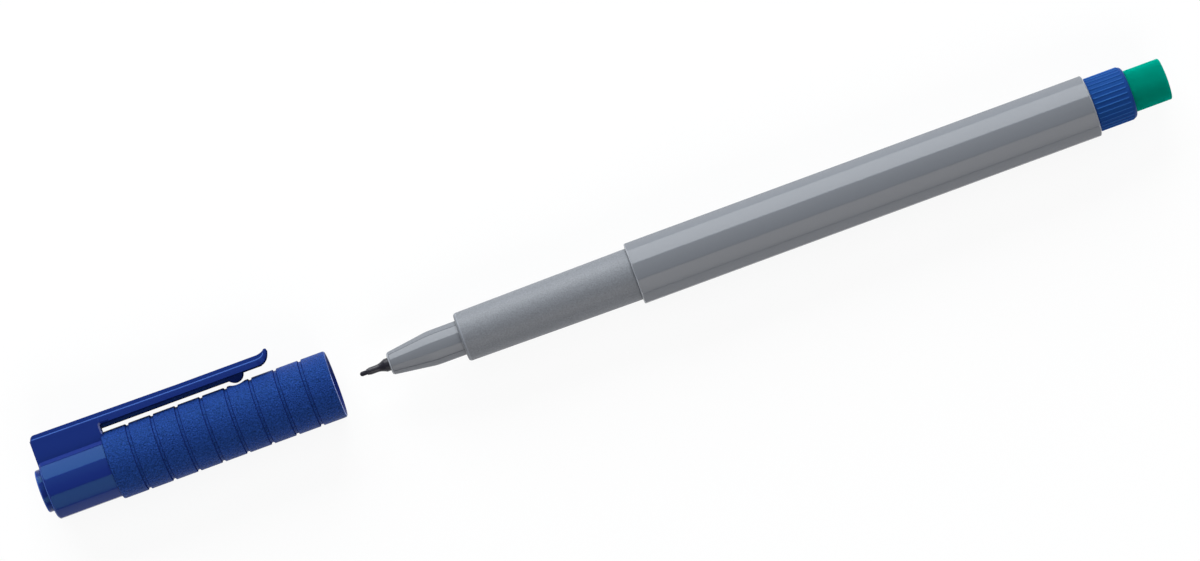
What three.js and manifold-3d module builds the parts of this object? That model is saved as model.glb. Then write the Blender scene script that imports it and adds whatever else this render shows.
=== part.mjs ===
// Overhead projector marker with its cap taken off and lying in line in front of the point.
// Millimetres. +X runs along the pen from the cap to the eraser, the clip is on +Y and +Z is up.
// The pen's own stations are measured from the barrel's front face, and the cap's from its mouth.

import * as THREE from 'three';
import { mergeVertices } from 'three/addons/utils/BufferGeometryUtils.js';
import Module from 'manifold-3d';

const wasm = await Module();
wasm.setup();

// Fits and counts shared by the pieces

const pressFit = 0.12; // radial gap between pieces that are pressed together
const runFit = 0.2; // radial gap between the cap's bore and the grip
const seatGap = 0.1; // axial gap where one piece stops against the next
const roundSides = 48; // facets of a full turn on the large round pieces
const smallSides = 24; // facets of a full turn on the thin ones
const flatSides = 12; // sides of the barrel, the nose and the closed end of the cap
const cornerRatio = 1 / Math.cos(Math.PI / flatSides); // corner radius over half the width across flats

// Ink reservoir

const fibreDiameter = 4.6;
const filmGap = 0.1;
const filmThickness = 0.15;
const reservoirInset = 1.2; // from the start of the core's bore to the reservoir
const nibSocketDepth = 8.5;

// Writing point and its holder

const pointDiameter = 0.65;
const pointReach = 1.15; // the point stands this far out of the holder
const pointFit = 0.08; // radial gap round the point in the holder
const stemDiameter = 1.3;
const holderTipDiameter = 1.2;
const holderTipLength = 1.75;
const holderFlareLength = 1.45;
const holderShankDiameter = 2.15;
const holderReach = 3.85; // from the nose's front face to the holder's tip
const holderSeatDepth = 7;
const holderFlangeRim = 0.42;
const holderFlangeLength = 0.9;

// Nose section: faceted nose, round core under the grip, spigot in the barrel

const noseLength = 12.2;
const noseConeLength = 7.05;
const noseFrontFlats = 3.7;
const noseConeFlats = 5.7;
const noseBaseFlats = 5.74;
const noseEdge = 0.2;
const coreWall = 0.65;
const noseSpigotLength = 10;

// Grip sleeve

const gripLength = 29.4;
const gripFrontWall = 0.58;
const gripRearWall = 0.88;
const gripEdge = 0.5;
const gripLip = 1;

// Barrel

const barrelLength = 77.9;
const barrelFlats = 10.16;
const barrelWall = 0.8;
const barrelEdge = 0.3;
const innerRibs = 6;
const innerRibThickness = 0.8;

// End plug and eraser

const plugSpigotLength = 9;
const collarLength = 6.4;
const collarWall = 0.72;
const collarRound = 0.7;
const collarLand = 0.4; // plain ring between the barrel and the ribs
const collarRibs = 32;
const collarRibHeight = 0.17;
const collarRibWidth = 0.26;
const cupFloor = 0.9;
const eraserDiameter = 6.9;
const eraserReach = 6.3;
const eraserEdge = 0.25;

// Cap

const capWall = 1.08;
const capLip = 0.4;
const capStandOff = 4.1; // from the nib's tip to the mouth of the cap that lies off the pen
const sleeveOverrun = 8.7; // the ringed sleeve runs this far past the front of the grip
const boreRunOut = 1.5; // the wide bore runs this far past the front of the grip
const sleeveEndChamfer = 0.3;
const grooveWidth = 0.58;
const grooveDepth = 0.28;
const groovePitch = 4.19;
const firstGroove = 4.3;
const lastRing = 2.5; // least width that a last ring has
const capEndFlats = 10.2;
const capEndRound = 0.5;
const capEndThickness = 0.8;
const tipClearance = 1.5; // from the nib's tip to the liner's floor when the cap is on

// Inner cap

const linerFit = 0.15;
const linerWall = 0.43;
const linerOverlap = 1.1; // the liner's mouth stands this far inside the wide bore
const linerLead = 0.25;
const buttonReach = 1.3;
const buttonDome = 0.45;

// Clip

const clipWidth = 5.4;
const clipCrest = 3.1; // from the sleeve's surface to the crest of the clip
const clipCrown = 0.73;
const clipThickness = 1.8;
const clipRootRound = 0.65;
const clipSplit = 0.9; // the flexing arm starts this far in front of the root block
const clipGap = 0.3;
const clipTipDepth = 8.4; // from the cap's mouth to the end of the clip
const clipUpturn = 0.55;
const clipUpturnLength = 2.3;
const clipTipThickness = 0.5;
const clipTipNarrowing = 0.7;
const clipRibWidth = 2.8;
const clipRibDepth = 0.62;
const bumpDepth = 14.8; // from the cap's mouth to the middle of the clip's bump
const bumpRadius = 1.44;
const bumpLift = 0.07;
const dimpleWidth = 3.34;
const dimpleDepth = 0.38;

// Sizes worked out from the driving ones

const filmInner = fibreDiameter / 2 + filmGap;
const filmOuter = filmInner + filmThickness;
const reservoirBore = filmOuter + pressFit;
const coreRadius = reservoirBore + coreWall;
const gripBore = coreRadius + pressFit;
const gripFrontRadius = gripBore + gripFrontWall;
const gripRearRadius = gripBore + gripRearWall;
const barrelBore = barrelFlats / 2 - barrelWall;
const spigotRadius = barrelBore - pressFit;
const noseCorner = (noseBaseFlats / 2) * cornerRatio;
const cupRadius = eraserDiameter / 2 + pressFit;
const collarRoot = cupRadius + collarWall;
const capBore = gripRearRadius + runFit;
const capRadius = capBore + capWall;
const linerBore = noseCorner + linerFit;
const linerRadius = linerBore + linerWall;
const linerHole = linerRadius + pressFit;
const holderFlange = holderShankDiameter / 2 + holderFlangeRim;
const clipTop = capRadius + clipCrest;

// Stations along the pen, from the barrel's front face

const gripRear = -seatGap;
const gripFront = gripRear - gripLength;
const coreFront = gripFront + gripLip + seatGap;
const noseFront = gripFront - noseLength;
const holderTip = noseFront - holderReach;
const nibTip = holderTip - pointReach;
const holderRear = noseFront + holderSeatDepth;
const reservoirFront = coreFront + reservoirInset;
const plugFront = barrelLength + seatGap;
const plugRear = plugFront + collarLength;
const cupBottom = plugFront + cupFloor;
const reservoirRear = plugFront - seatGap;
const eraserRear = plugRear + eraserReach;

// Depths in the cap, from its mouth

const sleeveLength = gripLength + sleeveOverrun;
const wideBoreDepth = gripLength + boreRunOut;
const linerFloor = -nibTip + tipClearance;
const capLength = linerFloor + capEndThickness;
const linerMouth = wideBoreDepth - linerOverlap;
const clipStub = sleeveLength - clipSplit;
const capTravel = -nibTip + capStandOff;

// Solids: a closed three.js geometry becomes a manifold for joining and cutting

function closedSolid(geometry) {
  geometry.deleteAttribute('normal');
  geometry.deleteAttribute('uv');
  const merged = mergeVertices(geometry);
  const points = merged.getAttribute('position');
  const index = merged.getIndex();
  const triangles = [];
  let volume = 0;
  const corners = [new THREE.Vector3(), new THREE.Vector3(), new THREE.Vector3()];
  for (let i = 0; i < index.count; i += 3) {
    const [a, b, c] = [index.getX(i), index.getX(i + 1), index.getX(i + 2)];
    if (a === b || b === c || c === a) continue;
    triangles.push([a, b, c]);
    [a, b, c].forEach((vertex, k) => corners[k].fromBufferAttribute(points, vertex));
    volume += corners[0].dot(corners[1].clone().cross(corners[2]));
  }
  const facingOut = volume > 0 ? triangles : triangles.map(([a, b, c]) => [a, c, b]);
  return new wasm.Manifold(new wasm.Mesh({
    numProp: 3,
    vertProperties: new Float32Array(points.array),
    triVerts: new Uint32Array(facingOut.flat()),
  }));
}

function namedMesh(name, solid, material) {
  const { vertProperties, triVerts } = solid.getMesh();
  const geometry = new THREE.BufferGeometry();
  geometry.setAttribute('position', new THREE.BufferAttribute(vertProperties, 3));
  geometry.setIndex(new THREE.BufferAttribute(triVerts, 1));
  geometry.computeVertexNormals();
  const mesh = new THREE.Mesh(geometry, material);
  mesh.name = name;
  return mesh;
}

// A profile of [station, radius] points turned about the X axis
function turned(profile, sides = roundSides, firstAngle = 0) {
  const outline = profile.map(([x, radius]) => new THREE.Vector2(radius, x));
  const onAxis = profile[0][1] === 0 && profile.at(-1)[1] === 0;
  if (!onAxis) outline.push(outline[0].clone());
  const geometry = new THREE.LatheGeometry(outline, sides, firstAngle, 2 * Math.PI);
  geometry.rotateZ(-Math.PI / 2);
  return closedSolid(geometry);
}

// A profile of [station, half width across flats] points as a prism of twelve sides, flats up and down
function faceted(profile) {
  const corners = profile.map(([x, halfFlats]) => [x, halfFlats * cornerRatio]);
  return turned(corners, flatSides, Math.PI / flatSides);
}

// Points of a quarter round between two profile points, bulging to the given centre's far side
function roundPoints(centre, radius, fromDegrees, toDegrees, steps = 4) {
  return Array.from({ length: steps + 1 }, (_, i) => {
    const angle = THREE.MathUtils.degToRad(fromDegrees + ((toDegrees - fromDegrees) * i) / steps);
    return [centre[0] + radius * Math.cos(angle), centre[1] + radius * Math.sin(angle)];
  });
}

// A side view in X and Y given a width along Z
function plate(points, width) {
  const shape = new THREE.Shape(points.map(([x, y]) => new THREE.Vector2(x, y)));
  const geometry = new THREE.ExtrudeGeometry(shape, { depth: width, bevelEnabled: false });
  geometry.translate(0, 0, -width / 2);
  return closedSolid(geometry);
}

// Sections with the same number of corners joined into one body with closed ends
function lofted(sections) {
  const size = sections[0].length;
  const index = [];
  for (let s = 0; s < sections.length - 1; s += 1) {
    for (let i = 0; i < size; i += 1) {
      const [a, b] = [s * size + i, s * size + ((i + 1) % size)];
      index.push(a, b, b + size, a, b + size, a + size);
    }
  }
  const last = (sections.length - 1) * size;
  for (let i = 1; i < size - 1; i += 1) {
    index.push(0, i + 1, i, last, last + i, last + i + 1);
  }
  const geometry = new THREE.BufferGeometry().setFromPoints(sections.flat());
  geometry.setIndex(index);
  return closedSolid(geometry);
}

// Writing point: a fine rod that widens to the stem in the reservoir

function nib() {
  const tipRound = pointDiameter / 2;
  const neck = holderTip + holderTipLength + holderFlareLength;
  const stemEnd = reservoirFront + nibSocketDepth - 2 * seatGap;
  return turned([
    ...roundPoints([nibTip + tipRound, 0], tipRound, 180, 90).map(([x, r], i) => [x, i ? r : 0]),
    [neck, pointDiameter / 2],
    [neck + stemDiameter / 2, stemDiameter / 2],
    [stemEnd - stemDiameter / 2, stemDiameter / 2],
    [stemEnd, pointDiameter / 2],
    [stemEnd, 0],
  ], smallSides);
}

// Holder: a thin tip that flares to a shank, with a flange seated inside the nose

function nibHolder() {
  const tipRadius = holderTipDiameter / 2;
  const shankRadius = holderShankDiameter / 2;
  const flareStart = holderTip + holderTipLength;
  const flareEnd = flareStart + holderFlareLength;
  const flare = [0.25, 0.5, 0.75, 1].map((t) => (
    [flareStart + holderFlareLength * t, tipRadius + (shankRadius - tipRadius) * t ** 1.6]
  ));
  const pointBore = pointDiameter / 2 + pointFit;
  const stemBore = stemDiameter / 2 + pressFit;
  return turned([
    [holderTip, pointBore],
    [holderTip, tipRadius - pointFit],
    [holderTip + pointFit, tipRadius],
    [flareStart, tipRadius],
    ...flare,
    [holderRear - holderFlangeLength, shankRadius],
    [holderRear - holderFlangeLength, holderFlange],
    [holderRear, holderFlange],
    [holderRear, stemBore],
    [flareEnd + stemBore - pointBore, stemBore],
    [flareEnd - pointFit, pointBore],
  ], smallSides);
}

// Nose section: the faceted nose in front, the round core under the grip and the spigot behind

function noseSection() {
  const nose = faceted([
    [noseFront, 0],
    [noseFront, noseFrontFlats / 2],
    [noseFront + noseConeLength, noseConeFlats / 2],
    [gripFront, noseBaseFlats / 2],
    [coreFront + coreWall, noseBaseFlats / 2],
    [coreFront + coreWall, 0],
  ]);
  const frontEdge = turned([
    [noseFront, 0],
    [noseFront, noseFrontFlats / 2 - noseEdge],
    [noseFront + noseEdge, (noseFrontFlats / 2 + noseEdge / 4)],
    [noseFront + 4 * noseEdge, noseCorner],
    [noseFront + noseConeLength, noseCorner + noseEdge],
    [coreFront + noseLength, noseCorner + noseEdge],
    [coreFront + noseLength, 0],
  ]);
  const core = turned([
    [coreFront, 0],
    [coreFront, coreRadius],
    [0, coreRadius],
    [0, spigotRadius],
    [noseSpigotLength - pressFit, spigotRadius],
    [noseSpigotLength, spigotRadius - pressFit],
    [noseSpigotLength, 0],
  ]);
  const flangeSeat = holderRear - holderFlangeLength - seatGap;
  const chamber = reservoirFront - seatGap;
  const bore = turned([
    [noseFront - 1, 0],
    [noseFront - 1, holderShankDiameter / 2 + pressFit],
    [flangeSeat, holderShankDiameter / 2 + pressFit],
    [flangeSeat, holderFlange + pressFit],
    [chamber, holderFlange + pressFit],
    [chamber, reservoirBore],
    [noseSpigotLength + 1, reservoirBore],
    [noseSpigotLength + 1, 0],
  ], smallSides);
  return nose.intersect(frontEdge).add(core).subtract(bore);
}

// Grip: a slightly tapered sleeve whose front lip closes round the nose

function gripSleeve() {
  const lipBore = noseCorner + pressFit;
  const edge = roundPoints([gripFront + gripEdge, gripFrontRadius - gripEdge], gripEdge, 180, 90);
  return turned([
    [gripFront, lipBore],
    ...edge,
    [gripRear - gripEdge / 4, gripRearRadius],
    [gripRear, gripRearRadius - gripEdge / 4],
    [gripRear, gripBore],
    [gripFront + gripLip, gripBore],
    [gripFront + gripLip, lipBore],
  ]);
}

// Barrel: a twelve-sided tube whose inner ribs keep the reservoir in the middle

function barrelRib(turn) {
  const from = noseSpigotLength + pressFit;
  const to = plugFront - plugSpigotLength - pressFit;
  const foot = barrelBore + barrelWall / 2;
  const height = foot - reservoirBore;
  const rib = new THREE.BoxGeometry(to - from, height, innerRibThickness);
  rib.translate((from + to) / 2, reservoirBore + height / 2, 0);
  rib.rotateX(turn);
  return closedSolid(rib);
}

function barrel() {
  const corner = (barrelFlats / 2) * cornerRatio;
  const edgeRadius = barrelFlats / 2 - barrelEdge / 2;
  const edgeRun = 1.6 * barrelEdge;
  const prism = faceted([
    [0, 0],
    [0, barrelFlats / 2],
    [barrelLength, barrelFlats / 2],
    [barrelLength, 0],
  ]);
  const ends = turned([
    [0, 0],
    [0, edgeRadius],
    [edgeRun, corner + barrelEdge / 4],
    [barrelLength - edgeRun, corner + barrelEdge / 4],
    [barrelLength, edgeRadius],
    [barrelLength, 0],
  ]);
  const bore = turned([
    [-1, 0],
    [-1, barrelBore],
    [barrelLength + 1, barrelBore],
    [barrelLength + 1, 0],
  ]);
  let tube = prism.intersect(ends).subtract(bore);
  for (let i = 0; i < innerRibs; i += 1) {
    tube = tube.add(barrelRib(((i + 0.5) * 2 * Math.PI) / innerRibs));
  }
  return tube;
}

// Reservoir: a fibre rod with a socket for the nib's stem, in a film sleeve

function reservoirFibre() {
  const socket = stemDiameter / 2 + pressFit;
  return turned([
    [reservoirFront + nibSocketDepth, 0],
    [reservoirFront + nibSocketDepth, socket],
    [reservoirFront, socket],
    [reservoirFront, fibreDiameter / 2],
    [reservoirRear, fibreDiameter / 2],
    [reservoirRear, 0],
  ], smallSides);
}

function reservoirFilm() {
  return turned([
    [reservoirFront, filmInner],
    [reservoirFront, filmOuter],
    [reservoirRear, filmOuter],
    [reservoirRear, filmInner],
  ], smallSides);
}

// End plug: a ribbed collar with the eraser's cup behind and a spigot in front

function collarRib(turn) {
  const crest = collarRoot + collarRibHeight;
  const foot = collarRoot - collarRibHeight;
  const from = plugFront + collarLand;
  const to = plugRear - collarLand;
  const rib = new THREE.Shape([
    new THREE.Vector2(from, foot),
    new THREE.Vector2(from, collarRoot),
    new THREE.Vector2(from + collarRibHeight, crest),
    new THREE.Vector2(to - collarRound / 2, crest),
    new THREE.Vector2(to, collarRoot - collarRibHeight / 2),
    new THREE.Vector2(to, foot),
  ]);
  const geometry = new THREE.ExtrudeGeometry(rib, { depth: collarRibWidth, bevelEnabled: false });
  geometry.translate(0, 0, -collarRibWidth / 2);
  geometry.rotateX(turn);
  return closedSolid(geometry);
}

function endPlug() {
  const spigotFront = plugFront - plugSpigotLength;
  const body = turned([
    [spigotFront, 0],
    [spigotFront, spigotRadius - pressFit],
    [spigotFront + pressFit, spigotRadius],
    [plugFront, spigotRadius],
    [plugFront, collarRoot + collarRibHeight / 2],
    [plugFront + collarLand, collarRoot + collarRibHeight / 2],
    [plugFront + collarLand + seatGap, collarRoot],
    ...roundPoints([plugRear - collarRound, collarRoot - collarRound], collarRound, 90, 0, 3),
    [plugRear, 0],
  ]);
  const cup = turned([
    [cupBottom, 0],
    [cupBottom, cupRadius],
    [plugRear + 1, cupRadius],
    [plugRear + 1, 0],
  ]);
  const hollow = turned([
    [spigotFront - 1, 0],
    [spigotFront - 1, reservoirBore],
    [plugFront, reservoirBore],
    [plugFront, 0],
  ], smallSides);
  let plug = body.subtract(cup).subtract(hollow);
  for (let i = 0; i < collarRibs; i += 1) {
    plug = plug.add(collarRib(((i + 0.5) * 2 * Math.PI) / collarRibs));
  }
  return plug;
}

function eraser() {
  const radius = eraserDiameter / 2;
  const front = cupBottom + seatGap;
  return turned([
    [front, 0],
    [front, radius],
    ...roundPoints([eraserRear - eraserEdge, radius - eraserEdge], eraserEdge, 90, 0, 3),
    [eraserRear, 0],
  ]);
}

// Cap: a ringed round sleeve, a twelve-sided closed end and the block that carries the clip

function ringGrooves() {
  const span = sleeveLength - firstGroove - lastRing;
  const count = Math.floor(span / groovePitch) + 1;
  return Array.from({ length: count }, (_, i) => firstGroove + i * groovePitch);
}

function ringedSleeve() {
  const lip = roundPoints([-capLip, capRadius - capLip], capLip, 0, 90, 3);
  const grooves = ringGrooves().flatMap((depth) => [
    [-depth + grooveWidth / 2, capRadius],
    [-depth, capRadius - grooveDepth],
    [-depth - grooveWidth / 2, capRadius],
  ]);
  return turned([
    [0, 0],
    ...lip,
    ...grooves,
    [-sleeveLength + sleeveEndChamfer, capRadius],
    [-sleeveLength, capRadius - sleeveEndChamfer],
    [-sleeveLength, 0],
  ]);
}

function closedEnd() {
  const half = capEndFlats / 2;
  const corner = half * cornerRatio;
  const prism = faceted([
    [-sleeveLength + capWall, 0],
    [-sleeveLength + capWall, half],
    [-capLength, half],
    [-capLength, 0],
  ]);
  const round = roundPoints([-capLength + capEndRound, corner - capEndRound], capEndRound, 90, 180);
  const ends = turned([[0, 0], [0, corner], ...round, [-capLength, 0]]);
  return prism.intersect(ends);
}

// One section of the clip at a station: flat underside and sides, and a crowned top
function clipSection(bottom, top, halfWidth) {
  const up = new THREE.Vector2().subVectors(top, bottom);
  const rise = Math.min(clipCrown, up.length() / 2);
  const across = [-1, -0.7, -0.35, 0, 0.35, 0.7, 1];
  const crown = across.map((t) => {
    const drop = rise * t * t;
    const point = top.clone().addScaledVector(up.clone().normalize(), -drop);
    return new THREE.Vector3(point.x, point.y, t * halfWidth);
  });
  const underside = [1, -1].map((t) => new THREE.Vector3(bottom.x, bottom.y, t * halfWidth));
  return [...crown, ...underside];
}

function straightClip(from, to, underside) {
  return lofted([from, to].map((depth) => clipSection(
    new THREE.Vector2(-depth, underside),
    new THREE.Vector2(-depth, clipTop),
    clipWidth / 2,
  )));
}

// The block on the closed end, with the round end of the slot under the arm
function clipBlock() {
  const foot = linerHole + capWall / 4;
  const underside = clipTop - clipThickness;
  const slotRadius = (underside - capRadius) / 2;
  const slotEnd = [-sleeveLength + slotRadius, capRadius + slotRadius];
  const side = plate([
    [-capLength, foot],
    [-sleeveLength, foot],
    [-sleeveLength, capRadius],
    ...roundPoints(slotEnd, slotRadius, 180, 90),
    [-clipStub, underside],
    [-clipStub, clipTop + clipCrown],
    [-capLength + clipRootRound, clipTop + clipCrown],
    [-capLength + clipRootRound, clipTop],
    ...roundPoints([-capLength + clipRootRound, clipTop - clipRootRound], clipRootRound, 90, 180).slice(1),
  ], clipWidth);
  return side.intersect(straightClip(capLength + 1, clipStub - 1, foot - 1));
}

// A shallow hollow in the sleeve that faces the clip's bump
function dimple() {
  const half = dimpleWidth / 2;
  const radius = (half * half + dimpleDepth * dimpleDepth) / (2 * dimpleDepth);
  const roller = new THREE.CylinderGeometry(radius, radius, clipWidth, roundSides);
  roller.rotateX(Math.PI / 2);
  roller.translate(-bumpDepth, capRadius - dimpleDepth + radius, 0);
  return closedSolid(roller);
}

function capShell() {
  const mouthRadius = capRadius - capLip;
  const bore = turned([
    [1, 0],
    [1, mouthRadius],
    [0, mouthRadius],
    [capBore - mouthRadius, capBore],
    [-wideBoreDepth, capBore],
    [-wideBoreDepth - capBore + linerHole, linerHole],
    [-capLength - 1, linerHole],
    [-capLength - 1, 0],
  ]);
  return ringedSleeve().add(closedEnd()).add(clipBlock()).subtract(dimple()).subtract(bore);
}

// Inner cap: a liner that seals round the nose, with its domed end showing as a button

function innerCap() {
  const end = -capLength - buttonReach;
  const dome = end + buttonDome;
  return turned([
    [-linerFloor, 0],
    [-linerFloor, linerBore],
    [-linerMouth - linerLead, linerBore],
    [-linerMouth, linerBore + linerLead],
    [-linerMouth, linerRadius],
    [dome, linerRadius],
    [end + buttonDome / 4, linerRadius - buttonDome],
    [end, linerRadius / 2],
    [end, 0],
  ], roundSides);
}

// Clip arm: crowned on top, stiffened by a narrower rib below, with a bump and an upturned end

function clipArm() {
  const underside = clipTop - clipThickness;
  const start = clipStub - clipGap;
  const bend = clipTipDepth + clipUpturnLength;
  const middle = (start + bend) / 2;
  const topCurve = new THREE.QuadraticBezierCurve(
    new THREE.Vector2(-bend, clipTop),
    new THREE.Vector2(-clipTipDepth - clipUpturnLength / 2, clipTop),
    new THREE.Vector2(-clipTipDepth - clipTipThickness, clipTop + clipUpturn),
  );
  const bottomCurve = new THREE.QuadraticBezierCurve(
    new THREE.Vector2(-bend, underside),
    new THREE.Vector2(-clipTipDepth - clipUpturn, underside),
    new THREE.Vector2(-clipTipDepth, clipTop + clipUpturn - clipTipThickness),
  );
  const steps = 8;
  const sections = [start, middle].map((depth) => clipSection(
    new THREE.Vector2(-depth, underside),
    new THREE.Vector2(-depth, clipTop),
    clipWidth / 2,
  ));
  for (let i = 0; i <= steps; i += 1) {
    const t = i / steps;
    const halfWidth = clipWidth / 2 - clipTipNarrowing * t ** 3;
    sections.push(clipSection(bottomCurve.getPoint(t), topCurve.getPoint(t), halfWidth));
  }
  const bumpCentre = capRadius + bumpLift + bumpRadius;
  const rib = plate([
    [-start, underside + clipRibDepth],
    [-start, underside - clipRibDepth],
    [-bumpDepth, underside - clipRibDepth],
    [-bumpDepth, underside + clipRibDepth],
  ], clipRibWidth);
  const bump = new THREE.CylinderGeometry(bumpRadius, bumpRadius, clipRibWidth, smallSides);
  bump.rotateX(Math.PI / 2);
  bump.translate(-bumpDepth, bumpCentre, 0);
  return lofted(sections).add(rib).add(closedSolid(bump));
}

// Materials

function plastic(colour, roughness) {
  return new THREE.MeshStandardMaterial({ color: colour, roughness, metalness: 0 });
}

const glossyBlue = plastic('#24408f', 0.28);
const satinBlue = plastic('#1f4c94', 0.5);
const greyPlastic = plastic('#8f939b', 0.3);
const gripGrey = plastic('#7c8088', 0.6);
const blackPlastic = plastic('#232327', 0.45);
const nibFibre = plastic('#2a2a33', 0.8);
const inkFibre = plastic('#2c3f86', 0.9);
const clearFilm = plastic('#c9ced8', 0.25);
const eraserGreen = plastic('#0a7f6c', 0.85);

// Assembly: the pen and the cap share one axis, and the sleeve of the cap touches the ground at z = 0

const pen = new THREE.Group();
pen.add(
  namedMesh('nib', nib(), nibFibre),
  namedMesh('nib_holder', nibHolder(), blackPlastic),
  namedMesh('nose_section', noseSection(), greyPlastic),
  namedMesh('grip_sleeve', gripSleeve(), gripGrey),
  namedMesh('barrel', barrel(), greyPlastic),
  namedMesh('ink_reservoir', reservoirFibre(), inkFibre),
  namedMesh('reservoir_film', reservoirFilm(), clearFilm),
  namedMesh('end_plug', endPlug(), satinBlue),
  namedMesh('eraser', eraser(), eraserGreen),
);

const cap = new THREE.Group();
cap.position.x = -capTravel;
cap.add(
  namedMesh('cap_shell', capShell(), glossyBlue),
  namedMesh('inner_cap', innerCap(), glossyBlue),
  namedMesh('clip_arm', clipArm(), glossyBlue),
);

const marker = new THREE.Group();
const leftEnd = -capTravel - capLength - buttonReach;
const clipSide = clipTop + clipUpturn;
marker.position.set(-(leftEnd + eraserRear) / 2, -(clipSide - capRadius) / 2, capRadius);
marker.add(pen, cap);

export default marker;
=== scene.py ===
"""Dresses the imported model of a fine-point marker whose cap lies in line in front of the point."""
import math

import bmesh
import bpy
from bpy.props import FloatProperty, FloatVectorProperty, IntProperty, PointerProperty
from mathutils import Euler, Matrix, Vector


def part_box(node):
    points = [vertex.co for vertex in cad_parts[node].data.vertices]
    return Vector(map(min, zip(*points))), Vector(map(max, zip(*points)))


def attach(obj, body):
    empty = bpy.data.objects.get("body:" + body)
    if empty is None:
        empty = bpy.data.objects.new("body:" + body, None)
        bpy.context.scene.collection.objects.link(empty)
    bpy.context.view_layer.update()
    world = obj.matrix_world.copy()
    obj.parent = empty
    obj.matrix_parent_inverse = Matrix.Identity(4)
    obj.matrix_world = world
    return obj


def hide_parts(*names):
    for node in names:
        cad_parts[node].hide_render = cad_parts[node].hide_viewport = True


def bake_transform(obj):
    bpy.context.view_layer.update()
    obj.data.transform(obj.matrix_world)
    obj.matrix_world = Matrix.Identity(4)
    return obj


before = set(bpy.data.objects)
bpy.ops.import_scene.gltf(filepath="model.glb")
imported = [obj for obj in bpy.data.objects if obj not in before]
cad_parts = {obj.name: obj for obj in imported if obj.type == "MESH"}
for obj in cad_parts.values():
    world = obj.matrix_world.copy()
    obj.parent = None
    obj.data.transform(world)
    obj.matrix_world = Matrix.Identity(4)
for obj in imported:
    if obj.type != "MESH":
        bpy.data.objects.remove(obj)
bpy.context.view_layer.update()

bl_info = {
    "name": "Fine-point marker",
    "version": (1, 0, 0),
    "blender": (4, 5, 0),
    "location": "View3D > Sidebar > Marker",
    "description": "Models and finishes the pieces of a fine-point marker with a pulled-off cap",
    "category": "Object",
}

MM = 0.001
SLIGHT = 0.02 * MM  # a distance under which two points count as one
FIT = 0.12 * MM  # the gap round a piece in its bore
END_GAP = 0.1 * MM  # the gap between the end of a piece and the step or floor of its bore
LEAD_IN = 0.12 * MM  # the chamfer at the end of a spigot
BEYOND = MM  # how far a cutting shape reaches past the piece that it cuts


# Places that come from the frame

def middle(node):
    low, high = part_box(node)
    return (low + high) / 2


def half_height(node):
    low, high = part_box(node)
    return (high.z - low.z) / 2


AXIS = middle("barrel")
PEN_BODY, CAP_BODY, CLIP_BODY = "pen", "cap", "clip"
BARREL_FRONT, BARREL_REAR = (corner.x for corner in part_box("barrel"))
GRIP_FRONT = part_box("grip_sleeve")[0].x
NOSE_FRONT, SPIGOT_REAR = (corner.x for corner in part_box("nose_section"))
HOLDER_TIP, HOLDER_REAR = (corner.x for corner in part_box("nib_holder"))
NIB_TIP, STEM_END = (corner.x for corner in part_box("nib"))
PLUG_FRONT, PLUG_REAR = (corner.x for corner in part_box("end_plug"))
ERASER_FRONT, ERASER_REAR = (corner.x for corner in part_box("eraser"))
CAP_END, CAP_MOUTH = (corner.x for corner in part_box("cap_shell"))
BUTTON_END, LINER_MOUTH = (corner.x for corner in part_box("inner_cap"))
ARM_ROOT, ARM_TIP = (corner.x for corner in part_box("clip_arm"))
BARREL_HALF = half_height("barrel")
GRIP_RADIUS = half_height("grip_sleeve")
SPIGOT_RADIUS = half_height("nose_section")
HOLDER_FLANGE = half_height("nib_holder")
STEM_RADIUS = half_height("nib")
COLLAR_RADIUS = half_height("end_plug")
ERASER_RADIUS = half_height("eraser")
CAP_RADIUS = half_height("cap_shell")
LINER_RADIUS = half_height("inner_cap")
CLIP_HALF = half_height("clip_arm")
SLEEVE_TOP = AXIS.y + CAP_RADIUS


# What a user would change: sizes, colours, and the camera with the light

def length(name, description, value_mm):
    return FloatProperty(name=name, description=description, default=value_mm * MM, unit="LENGTH")


def rotation(name, description, degrees):
    return FloatProperty(
        name=name, description=description, default=math.radians(degrees), unit="ROTATION"
    )


def number(name, description, value):
    return FloatProperty(name=name, description=description, default=value, min=0)


def count(name, description, value):
    return IntProperty(name=name, description=description, default=value, min=1)


def colour(name, description, value):
    return FloatVectorProperty(
        name=name, description=description, default=value, size=3, min=0, max=1, subtype="COLOR"
    )


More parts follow.
